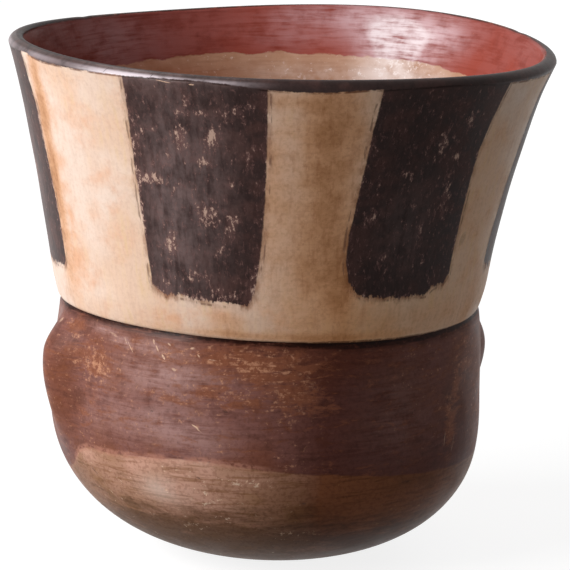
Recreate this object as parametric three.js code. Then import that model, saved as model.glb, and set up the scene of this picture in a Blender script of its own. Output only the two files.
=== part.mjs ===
// A hand-built, slip-painted clay cup: a round bowl and low belly, a pinched waist under a
// rounded ledge, a tall flaring neck, an uneven lip, and a modelled lug on each side of the belly.
// Each piece is one of the pieces of wet clay that the potter joined. All sizes are millimetres.
// X runs to the right lug's side, -Y faces the front view, Z rises from the table.

import * as THREE from 'three';

// Heights above the table
const LIP_HEIGHT = 150.2;
const WAIST_HEIGHT = 74.8;
const BELLY_HEIGHT = 44.5;
const BOWL_JOINT_HEIGHT = 31;
const COIL_HEIGHT = 14;

// Outer radii
const FOOT_RADIUS = 15;
const BELLY_RADIUS = 63.15;
const SHOULDER_RADIUS = 61.2;
const NECK_FOOT_RADIUS = 62.4;
const NECK_MIDDLE_RADIUS = 69;
const RIM_RADIUS = 78.8;

// Wall, floor and lip
const WALL_THICKNESS = 4.6;
const FLOOR_THICKNESS = 6;
const LIP_ROUND = 1.6;
const LIP_TILT = 0.5;
const LIP_FLARE = 0.5;

// How full the bowl's curve is: 2 would be an ellipse, and more is squarer
const BOWL_FULLNESS = 2.35;
// How late the belly draws in towards the waist, and how late the neck's middle line bends
const SHOULDER_POWER = 1.6;
const NECK_BEND_POWER = 1.6;

// The neck's rounded foot, which overhangs the crease at the waist
const LEDGE_HEIGHT = 9;
const LEDGE_DEPTH = 0.9;
const LEDGE_SKEW = 0.3;
const EDGE_DEPTH = 0.6;
const EDGE_HEIGHT = 1;
const CREASE_DEPTH = 0.5;
const CREASE_REACH = 2.5;

// The uneven hand-built shape: the middle line's shifts along X, the lean to +X, and the waves
const FOOT_SHIFT = -0.8;
const BELLY_SHIFT = -5.35;
const WAIST_SHIFT = -3.95;
const LEAN_DEGREES = 1.7;
const WAIST_WAVE = 0.7;
const LIP_WAVE_TWO = 0.9;
const LIP_SADDLE = -0.26;
const LIP_WAVE_THREE = -0.7;

// The lugs: their edge, their own seam on the belly, and how softly they swell from it
const LUG_EDGE = 0.5;
const LUG_SEAM = 0.3;
const LUG_SOFTNESS = 1.6;
const LUGS = {
  left_lug: { degrees: 202, height: 61.5, below: 24, halfWidth: 12, out: 6.4 },
  right_lug: { degrees: 19.5, height: 57.5, below: 17, halfWidth: 12, out: 6.2 },
};

// Facets of the model
const SIDES = 64;
const LUG_SIDES = 28;
const LUG_RINGS = 5;

const TURN = 2 * Math.PI;
const { clamp, degToRad, lerp, smoothstep } = THREE.MathUtils;

// The lip's section is a tilted half ellipse: its crown stands this far over its centre
const LIP_CROWN = Math.hypot(LIP_ROUND, LIP_TILT);
const RIM_HEIGHT = LIP_HEIGHT - LIP_CROWN;
const COIL_JOINT_HEIGHT = LIP_HEIGHT - COIL_HEIGHT;

// Radius of a superellipse that is widest at the belly and closes half a height below it
function bowlRadius(height, widest, halfHeight) {
  const drop = clamp((BELLY_HEIGHT - height) / halfHeight, 0, 1);
  return widest * (1 - drop ** BOWL_FULLNESS) ** (1 / BOWL_FULLNESS);
}

// The belly draws in from its widest ring to the shoulder under the crease
function shoulderRadius(height) {
  const share = clamp((height - BELLY_HEIGHT) / (WAIST_HEIGHT - BELLY_HEIGHT), 0, 1);
  return BELLY_RADIUS - (BELLY_RADIUS - SHOULDER_RADIUS) * share ** SHOULDER_POWER;
}

// The neck flares along the parabola through its foot, middle and rim radii
function neckRadius(height) {
  const share = (height - WAIST_HEIGHT) / (RIM_HEIGHT - WAIST_HEIGHT);
  const slope = 4 * NECK_MIDDLE_RADIUS - 3 * NECK_FOOT_RADIUS - RIM_RADIUS;
  const curve = 2 * NECK_FOOT_RADIUS + 2 * RIM_RADIUS - 4 * NECK_MIDDLE_RADIUS;
  const flare = LIP_FLARE * clamp((height - COIL_JOINT_HEIGHT) / COIL_HEIGHT, 0, 1) ** 2;
  return NECK_FOOT_RADIUS + slope * share + curve * share * share + flare;
}

// Outside of the bowl and the belly, drawn in at the very top to make the crease
function bellyOutside(height) {
  const halfHeight = BELLY_HEIGHT
    / (1 - (FOOT_RADIUS / BELLY_RADIUS) ** BOWL_FULLNESS) ** (1 / BOWL_FULLNESS);
  const crease = CREASE_DEPTH * smoothstep(height, WAIST_HEIGHT - CREASE_REACH, WAIST_HEIGHT);
  if (height < BELLY_HEIGHT) {
    return bowlRadius(height, BELLY_RADIUS, halfHeight) - crease;
  }
  return shoulderRadius(height) - crease;
}

// Outside of the neck: a broad rounding above the crease and a small round edge right at it
function neckOutside(height, angle) {
  const rise = height - WAIST_HEIGHT;
  const broad = clamp(1 - rise / LEDGE_HEIGHT, 0, 1) ** 2;
  const small = clamp(1 - rise / EDGE_HEIGHT, 0, 1);
  const ledge = LEDGE_DEPTH * broad * (1 + LEDGE_SKEW * Math.cos(angle));
  return neckRadius(height) - ledge - EDGE_DEPTH * (1 - Math.sqrt(1 - small * small));
}

// Inside of the whole cup, one smooth curve past the waist
function inside(height) {
  if (height < BELLY_HEIGHT) {
    return bowlRadius(height, BELLY_RADIUS - WALL_THICKNESS, BELLY_HEIGHT - FLOOR_THICKNESS);
  }
  if (height < WAIST_HEIGHT) {
    return shoulderRadius(height) - WALL_THICKNESS;
  }
  const step = NECK_FOOT_RADIUS - SHOULDER_RADIUS;
  const thicker = step * (1 - smoothstep(height, WAIST_HEIGHT, WAIST_HEIGHT + 2 * LEDGE_HEIGHT));
  return neckRadius(height) - WALL_THICKNESS - thicker;
}

// The middle line's shift along X at a height
function middleShift(height) {
  if (height < BELLY_HEIGHT) {
    return lerp(BELLY_SHIFT, FOOT_SHIFT, (1 - height / BELLY_HEIGHT) ** 2);
  }
  if (height < WAIST_HEIGHT) {
    return lerp(BELLY_SHIFT, WAIST_SHIFT, smoothstep(height, BELLY_HEIGHT, WAIST_HEIGHT));
  }
  const share = (height - WAIST_HEIGHT) / (LIP_HEIGHT - WAIST_HEIGHT);
  return WAIST_SHIFT * (1 - share ** NECK_BEND_POWER);
}

// How far the wall's waves lift a point: the waist's wave passes into the lip's in the top coil
function waveLift(height, angle) {
  const low = WAIST_WAVE * Math.sin(2 * angle) * smoothstep(height, 0, BELLY_HEIGHT);
  const high = LIP_WAVE_TWO * Math.sin(2 * angle) + LIP_SADDLE * Math.cos(2 * angle)
    + LIP_WAVE_THREE * Math.cos(3 * angle);
  return lerp(low, high, smoothstep(height, COIL_JOINT_HEIGHT, LIP_HEIGHT));
}

// Puts a point of the plain round cup where the leaning, uneven cup has it
function place(radius, angle, height) {
  const lean = degToRad(LEAN_DEGREES) * smoothstep(height, 0, BELLY_HEIGHT);
  const across = radius * Math.cos(angle);
  return new THREE.Vector3(
    middleShift(height) + across * Math.cos(lean),
    radius * Math.sin(angle),
    height + waveLift(height, angle) - across * Math.sin(lean),
  );
}

// A ring of points round the cup
function ring(height, radiusAt, sides = SIDES) {
  return Array.from({ length: sides }, (_, side) => {
    const angle = (TURN * side) / sides;
    return place(radiusAt(height, angle), angle, height);
  });
}

// Collects rings of points and joins neighbours with triangles that face outward
class Skin {
  constructor() {
    this.points = [];
    this.faces = [];
  }

  add(ringPoints) {
    const first = this.points.length;
    this.points.push(...ringPoints);
    return { first, count: ringPoints.length };
  }

  // A band between two rings; the diagonal leans back where the other piece's joint face needs it
  band(low, high, leanBack = false) {
    for (let side = 0; side < low.count; side += 1) {
      const next = (side + 1) % low.count;
      const [a, b] = [low.first + side, low.first + next];
      const [c, d] = [high.first + next, high.first + side];
      if (leanBack) {
        this.faces.push([a, b, d], [b, c, d]);
      } else {
        this.faces.push([a, b, c], [a, c, d]);
      }
    }
  }

  // A fan from a centre point, before the first ring or after the last one
  fan(centre, edge, centreFirst) {
    const { first: middle } = this.add([centre]);
    for (let side = 0; side < edge.count; side += 1) {
      const next = (side + 1) % edge.count;
      const [a, b] = [edge.first + side, edge.first + next];
      this.faces.push(centreFirst ? [middle, b, a] : [middle, a, b]);
    }
  }

  geometry() {
    const positions = this.points.flatMap((point) => point.toArray());
    const geometry = new THREE.BufferGeometry();
    geometry.setAttribute('position', new THREE.Float32BufferAttribute(positions, 3));
    geometry.setIndex(this.faces.flat());
    geometry.computeVertexNormals();
    return geometry;
  }
}

// Even steps from one height to another, both ends included
function steps(from, to, count) {
  return Array.from({ length: count + 1 }, (_, index) => lerp(from, to, index / count));
}

// Joins a chain of rings into bands, and the last ring to the first where the section closes.
// The section closes on the joint face at its foot, whose diagonals match the piece below.
function wallSkin(rings) {
  const skin = new Skin();
  const added = rings.map((points) => skin.add(points));
  for (let index = 1; index < added.length; index += 1) {
    skin.band(added[index - 1], added[index]);
  }
  skin.band(added[added.length - 1], added[0], true);
  return skin.geometry();
}

// The round bottom: the worn flat foot, the outside up to the joint, then the inside down again
function baseBowl() {
  const skin = new Skin();
  const outsideHeights = steps(0, 1, 8).map((share) => BOWL_JOINT_HEIGHT * share ** 2);
  const insideHeights = steps(1, 0, 7).slice(0, -1)
    .map((share) => lerp(FLOOR_THICKNESS, BOWL_JOINT_HEIGHT, share ** 2));
  const rings = [
    ...outsideHeights.map((height) => ring(height, bellyOutside)),
    ...insideHeights.map((height) => ring(height, inside)),
  ].map((points) => skin.add(points));
  skin.fan(place(0, 0, 0), rings[0], true);
  for (let index = 1; index < rings.length; index += 1) {
    skin.band(rings[index - 1], rings[index]);
  }
  skin.fan(place(0, 0, FLOOR_THICKNESS), rings[rings.length - 1], false);
  return skin.geometry();
}

// The belly's wall, from the bowl's joint to the crease at the waist
function bellyWall() {
  const creaseFoot = WAIST_HEIGHT - CREASE_REACH;
  return wallSkin([
    ...steps(BOWL_JOINT_HEIGHT, creaseFoot, 5).map((height) => ring(height, bellyOutside)),
    ...steps(creaseFoot, WAIST_HEIGHT, 2).slice(1).map((height) => ring(height, bellyOutside)),
    ...steps(WAIST_HEIGHT, BOWL_JOINT_HEIGHT, 4).map((height) => ring(height, inside)),
  ]);
}

// The flaring neck. Its joint face is the belly's top; its foot overhangs that face as a ledge.
function neckWall() {
  const ledgeTop = WAIST_HEIGHT + LEDGE_HEIGHT;
  return wallSkin([
    ring(WAIST_HEIGHT, bellyOutside),
    ring(WAIST_HEIGHT, neckOutside),
    ring(WAIST_HEIGHT + EDGE_HEIGHT / 3, neckOutside),
    ...steps(WAIST_HEIGHT + EDGE_HEIGHT, ledgeTop, 3).map((height) => ring(height, neckOutside)),
    ...steps(ledgeTop, COIL_JOINT_HEIGHT, 4).slice(1).map((height) => ring(height, neckOutside)),
    ...steps(COIL_JOINT_HEIGHT, WAIST_HEIGHT, 7).map((height) => ring(height, inside)),
  ]);
}

// The last coil: up the outside, over the tilted half ellipse of the lip, and down the inside
function rimCoil() {
  const lipMiddle = neckRadius(RIM_HEIGHT) - WALL_THICKNESS / 2;
  const lip = steps(0, Math.PI, 8).map((turn) => {
    const height = RIM_HEIGHT + LIP_ROUND * Math.sin(turn) - LIP_TILT * Math.cos(turn);
    return ring(height, () => lipMiddle + (WALL_THICKNESS / 2) * Math.cos(turn));
  });
  return wallSkin([
    ...steps(COIL_JOINT_HEIGHT, RIM_HEIGHT - LIP_TILT, 3).slice(0, -1)
      .map((height) => ring(height, neckOutside)),
    ...lip,
    ...steps(RIM_HEIGHT + LIP_TILT, COIL_JOINT_HEIGHT, 3).slice(1)
      .map((height) => ring(height, inside)),
  ]);
}

// A lug: a soft mound on the belly, thick in the middle and thin at its rim, ending under the crease
function lug({ degrees, height, below, halfWidth, out }) {
  const above = WAIST_HEIGHT - LUG_SEAM - height;
  const skin = new Skin();
  const layer = (reach, thicknessAt) => Array.from({ length: LUG_SIDES }, (_, side) => {
    const turn = (TURN * side) / LUG_SIDES;
    const level = height + reach * Math.sin(turn) * (Math.sin(turn) > 0 ? above : below);
    const angle = degToRad(degrees) + (reach * Math.cos(turn) * halfWidth) / BELLY_RADIUS;
    return place(bellyOutside(level) + LUG_SEAM + thicknessAt(reach), angle, level);
  });
  const swell = (reach) => LUG_EDGE + (out - LUG_EDGE) * (1 - reach * reach) ** LUG_SOFTNESS;
  const flat = () => 0;
  const reaches = steps(0, 1, LUG_RINGS).slice(1);
  const outer = reaches.map((reach) => skin.add(layer(reach, swell)));
  const inner = reaches.map((reach) => skin.add(layer(reach, flat)));
  for (let index = 1; index < reaches.length; index += 1) {
    skin.band(outer[index], outer[index - 1]);
    skin.band(inner[index - 1], inner[index]);
  }
  skin.band(inner[inner.length - 1], outer[outer.length - 1]);
  skin.fan(layer(0, swell)[0], outer[0], false);
  skin.fan(layer(0, flat)[0], inner[0], true);
  return skin.geometry();
}

// The burnished slips and their colours
function slip(color, roughness) {
  return new THREE.MeshStandardMaterial({ color, roughness, metalness: 0 });
}

function piece(name, geometry, material) {
  const mesh = new THREE.Mesh(geometry, material);
  mesh.name = name;
  return mesh;
}

const cup = new THREE.Group();
cup.add(
  piece('base_bowl', baseBowl(), slip(0xa07a5c, 0.5)),
  piece('belly_wall', bellyWall(), slip(0x7a4436, 0.45)),
  piece('neck_wall', neckWall(), slip(0xd9b594, 0.55)),
  piece('rim_coil', rimCoil(), slip(0x3f3334, 0.45)),
  ...Object.entries(LUGS).map(([name, sizes]) => piece(name, lug(sizes), slip(0x7a4436, 0.45))),
);

// The cup's reference point is the middle of its bounding box, on the table
const middle = new THREE.Box3().setFromObject(cup).getCenter(new THREE.Vector3());
cup.position.set(-middle.x, -middle.y, 0);

export default cup;
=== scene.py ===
"""A slip-painted clay cup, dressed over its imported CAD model.

The cup is one fired piece that a potter joined from a pinched bowl, a coiled belly wall, a coiled neck and
a lip coil, with a modelled lug on each side. Each of those is one closed surface here, worked out from the
same formula as the CAD solids and made finer. The slips are painted over all of them in one pass, so a
painted edge runs on across a joint.

Lengths are in millimetres until a mesh is made, and in metres after that. A turn is an angle round the cup
from +X towards +Y. A facing is the same angle in degrees, but from the photographed side (-Y), positive to
the right.
"""
import logging
import math
from collections.abc import Callable
from dataclasses import dataclass
from enum import Enum

import bpy
import numpy as np
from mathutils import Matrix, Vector


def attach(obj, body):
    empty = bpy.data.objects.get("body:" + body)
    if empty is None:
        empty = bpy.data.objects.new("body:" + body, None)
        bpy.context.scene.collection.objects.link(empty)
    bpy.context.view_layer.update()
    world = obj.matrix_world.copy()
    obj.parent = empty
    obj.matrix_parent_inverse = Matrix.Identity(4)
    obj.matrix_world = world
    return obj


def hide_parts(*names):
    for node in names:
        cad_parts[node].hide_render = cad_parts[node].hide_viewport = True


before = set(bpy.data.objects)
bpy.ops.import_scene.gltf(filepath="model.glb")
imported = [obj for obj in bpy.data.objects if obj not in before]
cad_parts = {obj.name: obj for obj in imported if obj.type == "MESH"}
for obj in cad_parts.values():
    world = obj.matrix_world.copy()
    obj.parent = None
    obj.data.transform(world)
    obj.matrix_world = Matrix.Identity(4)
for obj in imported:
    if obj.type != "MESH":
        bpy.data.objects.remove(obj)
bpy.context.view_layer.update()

MM = 0.001
MAP_RADIUS = 62.0
MAP_SCALE = MAP_RADIUS * math.pi / 180.0
FAR_OFF = 40.0
MOST_SPOT_SUM = 1.2
LOG = logging.getLogger("cup")
Array = np.ndarray
Socket = bpy.types.NodeSocket
Value = Socket | float
Stops = tuple[tuple[float, float], ...]


class Side(Enum):
    """Which side of the wall a row lies on, as a distance past the lip's ridge, well away from it."""

    OUTSIDE = -FAR_OFF
    INSIDE = FAR_OFF


def smooth_step(share: Array | float) -> Array:
    """The curve 3t^2 - 2t^3, held at 0 and 1."""
    t = np.clip(share, 0.0, 1.0)
    return t * t * (3.0 - 2.0 * t)


def blend(start: Array | float, end: Array | float, share: Array | float) -> Array:
    """The mix start + (end - start) * share."""
    return start + (end - start) * share


def half_turn(degrees: Array) -> Array:
    """The same direction as each angle, from -180 to 180 degrees."""
    return (degrees + 180.0) % 360.0 - 180.0


def facing_of(turn: Array) -> Array:
    """Degrees from the photographed side, positive to the right, for angles from +X in radians."""
    return half_turn(np.degrees(turn) + 90.0)


def between(place: Array, stops: Stops, period: float | None = None) -> Array:
    """A value given at a few places in rising order, with straight lines between them."""
    return np.interp(place, [stop[0] for stop in stops], [stop[1] for stop in stops], period=period)


def put(name: str, data: bpy.types.ID) -> bpy.types.Object:
    """A new object at the scene's origin.

    Args:
        name: Its name.
        data: Its mesh, lamp or camera.

    Returns:
        The object.
    """
    thing = bpy.data.objects.new(name, data)
    bpy.context.scene.collection.objects.link(thing)
    return thing


@dataclass(frozen=True)
class CupShape:
    """The form of the cup's wall, in millimetres, with the same driving sizes as the CAD solids."""

    lip_height: float = 150.2
    waist_height: float = 74.8
    belly_height: float = 44.5
    bowl_joint_height: float = 31.0
    coil_height: float = 14.0
    foot_radius: float = 15.0
    belly_radius: float = 63.15
    shoulder_radius: float = 61.2
    neck_foot_radius: float = 62.4
    neck_middle_radius: float = 69.0
    rim_radius: float = 78.8
    wall: float = 4.6
    floor: float = 6.0
    lip_round: float = 1.6
    lip_tilt: float = 0.5
    lip_flare: float = 0.5
    bowl_fullness: float = 2.35
    shoulder_power: float = 1.6
    neck_bend_power: float = 1.6
    ledge_height: float = 9.0
    ledge_depth: float = 0.9
    ledge_skew: float = 0.3
    edge_depth: float = 0.6
    edge_height: float = 1.0
    crease_depth: float = 0.5
    crease_reach: float = 2.5
    foot_shift: float = -0.8
    belly_shift: float = -5.35
    waist_shift: float = -3.95
    lean_degrees: float = 1.7
    waist_wave: float = 0.7
    lip_wave_two: float = 0.9
    lip_saddle: float = -0.26
    lip_wave_three: float = -0.7
    origin_shift: float = 0.181
    hand_wave: float = 0.16

    @property
    def rim_height(self) -> float:
        """The height at which the straight wall ends and the rounded lip begins."""
        return self.lip_height - math.hypot(self.lip_round, self.lip_tilt)

    @property
    def coil_joint_height(self) -> float:
        """The height at which the neck wall ends and the lip coil begins."""
        return self.lip_height - self.coil_height

    def bowl_radius(self, height: Array, widest: float, half_height: float) -> Array:
        """A quarter of a full ellipse, widest * (1 - drop^f)^(1/f), closed half_height under the belly."""
        drop = np.clip((self.belly_height - height) / half_height, 0.0, 1.0)
        return widest * (1.0 - drop**self.bowl_fullness) ** (1.0 / self.bowl_fullness)

    def neck_radius(self, height: Array) -> Array:
        """A parabola through the neck's foot, middle and rim, with a small extra flare over the lip coil.

        Args:
            height: Heights over the table.

        Returns:
            The radius at each height.
        """
        share = (height - self.waist_height) / (self.rim_height - self.waist_height)
        slope = 4.0 * self.neck_middle_radius - 3.0 * self.neck_foot_radius - self.rim_radius
        bend = 2.0 * self.neck_foot_radius + 2.0 * self.rim_radius - 4.0 * self.neck_middle_radius
        over_coil = np.clip((height - self.coil_joint_height) / self.coil_height, 0.0, 1.0)
        return self.neck_foot_radius + slope * share + bend * share**2 + self.lip_flare * over_coil**2

    def shoulder(self, height: Array) -> Array:
        """The belly's radius over its widest height: it eases in by a power of the way to the waist."""
        share = np.clip((height - self.belly_height) / (self.waist_height - self.belly_height), 0.0, 1.0)
        return self.belly_radius - (self.belly_radius - self.shoulder_radius) * share**self.shoulder_power

    def belly_outside(self, height: Array) -> Array:
        """The outside under the waist: the bowl, the shoulder and the crease worn in under the ledge.

        Args:
            height: Heights over the table.

        Returns:
            The radius at each height.
        """
        full = 1.0 - (self.foot_radius / self.belly_radius) ** self.bowl_fullness
        half_height = self.belly_height / full ** (1.0 / self.bowl_fullness)
        bowl = self.bowl_radius(height, self.belly_radius, half_height)
        wall = np.where(height < self.belly_height, bowl, self.shoulder(height))
        rise = (height - self.waist_height + self.crease_reach) / self.crease_reach
        return wall - self.crease_depth * smooth_step(rise)

    def neck_outside(self, height: Array, turn: Array) -> Array:
        """The outside over the waist: the flaring neck, its ledge and the ledge's rounded lower edge.

        The ledge fades with the square of the way up it. Its edge is a quarter of an ellipse.

        Args:
            height: Heights over the table.
            turn: Angles from +X.

        Returns:
            The radius at each point.
        """
        rise = height - self.waist_height
        ledge = self.ledge_depth * np.clip(1.0 - rise / self.ledge_height, 0.0, 1.0) ** 2
        small = np.clip(1.0 - rise / self.edge_height, 0.0, 1.0)
        edge = self.edge_depth * (1.0 - np.sqrt(1.0 - small**2))
        return self.neck_radius(height) - ledge * (1.0 + self.ledge_skew * np.cos(turn)) - edge

    def inside(self, height: Array) -> Array:
        """The inner wall: the bowl, the belly and the neck, one wall's thickness in.

        Args:
            height: Heights over the table.

        Returns:
            The radius at each height.
        """
        bowl = self.bowl_radius(height, self.belly_radius - self.wall, self.belly_height - self.floor)
        over = 1.0 - smooth_step((height - self.waist_height) / (2.0 * self.ledge_height))
        step = (self.neck_foot_radius - self.shoulder_radius) * over
        neck = self.neck_radius(height) - self.wall - step
        lower = np.where(height < self.belly_height, bowl, self.shoulder(height) - self.wall)
        return np.where(height < self.waist_height, lower, neck)

    def middle(self, height: Array) -> Array:
        """How far each ring's middle lies off the origin along X, because the cup leans.

        Args:
            height: Heights over the table.

        Returns:
            The shift at each height.
        """
        low = np.clip(1.0 - height / self.belly_height, 0.0, 1.0) ** 2
        bowl = blend(self.belly_shift, self.foot_shift, low)
        rise = smooth_step((height - self.belly_height) / (self.waist_height - self.belly_height))
        belly = blend(self.belly_shift, self.waist_shift, rise)
        up = np.clip((height - self.waist_height) / (self.lip_height - self.waist_height), 0.0, 2.0)
        neck = self.waist_shift * (1.0 - up**self.neck_bend_power)
        return np.where(height < self.belly_height, bowl, np.where(height < self.waist_height, belly, neck))

    def wave(self, height: Array, turn: Array) -> Array:
        """How far each ring rises and falls round the cup: a little at the waist, more at the uneven lip.

        Args:
            height: Heights over the table.
            turn: Angles from +X.

        Returns:
            The rise at each point: waves with two and three crests round the cup.
        """
        waist = self.waist_wave * np.sin(2.0 * turn) * smooth_step(height / self.belly_height)
        lip = self.lip_wave_two * np.sin(2.0 * turn) + self.lip_saddle * np.cos(2.0 * turn)
        lip = lip + self.lip_wave_three * np.cos(3.0 * turn)
        return blend(waist, lip, smooth_step((height - self.coil_joint_height) / self.coil_height))

    def place(self, radius: Array, turn: Array, height: Array) -> Array:
        """Points of the leaning, waving cup from a ring's radius, angle and height.

        Args:
            radius: Distance from the ring's middle.
            turn: Angle from +X.
            height: Height before the lean and the wave.

        Returns:
            Points in millimetres, with x, y and z last.
        """
        lean = math.radians(self.lean_degrees) * smooth_step(height / self.belly_height)
        across = radius * np.cos(turn)
        x = self.origin_shift + self.middle(height) + across * np.cos(lean)
        y = radius * np.sin(turn)
        z = height + self.wave(height, turn) - across * np.sin(lean)
        return np.stack(np.broadcast_arrays(x, y, z), axis=-1)

    def hand_marks(self, height: Array, turn: Array) -> Array:
        """The low bumps that paddling and scraping left: four slow waves, none of them on the foot.

        Args:
            height: Height over the table.
            turn: Angle from +X.

        Returns:
            How far the wall stands out, in millimetres.
        """
        slow = np.sin(3.0 * turn + height / 19.0) + 0.8 * np.sin(5.0 * turn - height / 11.0 + 1.3)
        quick = 0.6 * np.sin(8.0 * turn + height / 7.5 + 0.4)
        quick = quick + 0.5 * np.sin(13.0 * turn - height / 5.2 + 2.1)
        ring = 0.5 * np.sin(height / 3.1 + 1.5 * np.sin(2.0 * turn))
        return self.hand_wave * (slow + quick + ring) / 3.0 * smooth_step(height / self.bowl_joint_height)


@dataclass(frozen=True)
class Panel:
    """One black panel on the neck: its two sides and its foot, as facings and heights."""

    left: Stops
    right: Stops
    foot: Stops
    corner: float = 3.2
    tuft_reach: float = 6.0
    tuft_side: float = 1.08
    tuft_fade: float = 0.2

    def across(self, facing: Array, height: Array) -> tuple[Array, Array]:
        """Degrees from the middle between the panel's sides, and half its width in degrees."""
        left, right = between(height, self.left), between(height, self.right)
        return half_turn(facing - (left + right) / 2.0), (right - left) / 2.0

    def depth(self, facing: Array, height: Array, radius: Array) -> Array:
        """How far inside the panel a point lies, in millimetres, negative outside.

        The sides and the foot are lines given at a few places, and the foot's corners are rounded.

        Args:
            facing: Degrees from the photographed side.
            height: Height over the table.
            radius: The wall's radius there, which turns degrees into millimetres.

        Returns:
            The distance to the nearest edge.
        """
        off, half = self.across(facing, height)
        per_degree = radius * math.pi / 180.0
        side = (half - np.abs(off)) * per_degree
        over = height - between((off + half) / (2.0 * half), self.foot)
        in_side = np.clip(self.corner - side, 0.0, None)
        in_foot = np.clip(self.corner - over, 0.0, None)
        rounded = self.corner - np.hypot(in_side, in_foot)
        return np.where((side < self.corner) & (over < self.corner), rounded, np.minimum(side, over))

    def tufts(self, facing: Array, height: Array) -> Array:
        """How near a point lies to the panel's foot, where the brush lifted off in tufts.

        Args:
            facing: Degrees from the photographed side.
            height: Height over the table.

        Returns:
            1 near the foot, 0 well away from it or past a side.
        """
        off, half = self.across(facing, height)
        share = np.abs(off) / half
        low = np.mean([stop[1] for stop in self.foot])
        near = (self.tuft_reach - np.abs(height - low)) / (self.tuft_reach / 2.0)
        return smooth_step((self.tuft_side - share) / self.tuft_fade) * smooth_step(near)


def straight_panel(middle: float, width: float, foot: float) -> Panel:
    """A panel of the unseen side, a little narrower at its foot.

    Args:
        middle: Facing of its middle.
        width: Degrees that it spans at the lip.
        foot: Height of its lower edge.

    Returns:
        The panel.
    """
    start, end = middle - width / 2.0, middle + width / 2.0
    left = ((foot, start + 1.2), (112.0, start + 0.4), (150.0, start))
    right = ((foot, end - 1.4), (118.0, end - 0.9), (150.0, end))
    return Panel(left, right, ((0.0, foot), (0.4, foot - 0.7), (1.0, foot + 0.5)))


@dataclass(frozen=True)
class Spot:
    """A soft spot on the wall: its facing and height, how far it reaches across and up, and its strength."""

    facing: float
    height: float
    wide: float
    tall: float
    strength: float

    def amount(self, facing: Array, height: Array, radius: Array) -> Array:
        """A bell curve round the spot, strength * exp(-r^2), where r counts its reach along and up.

        Args:
            facing: Degrees from the photographed side.
            height: Height over the table.
            radius: The wall's radius there.

        Returns:
            The spot's amount at each point.
        """
        across = half_turn(facing - self.facing) * radius * math.pi / 180.0 / self.wide
        up = (height - self.height) / self.tall
        return self.strength * np.exp(-(across**2 + up**2))


def spots(*rows: tuple[float, float, float, float, float]) -> tuple[Spot, ...]:
    """Spots from rows of facing, height, reach across, reach up and strength."""
    return tuple(Spot(*row) for row in rows)


def total(places: tuple[Spot, ...], facing: Array, height: Array, radius: Array) -> Array:
    """The sum of several spots.

    Args:
        places: The spots.
        facing: Degrees from the photographed side.
        height: Height over the table.
        radius: The wall's radius there.

    Returns:
        Their summed amounts.
    """
    sums = np.zeros(np.broadcast(facing, height).shape)
    for spot in places:
        sums = sums + spot.amount(facing, height, radius)
    return sums


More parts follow.
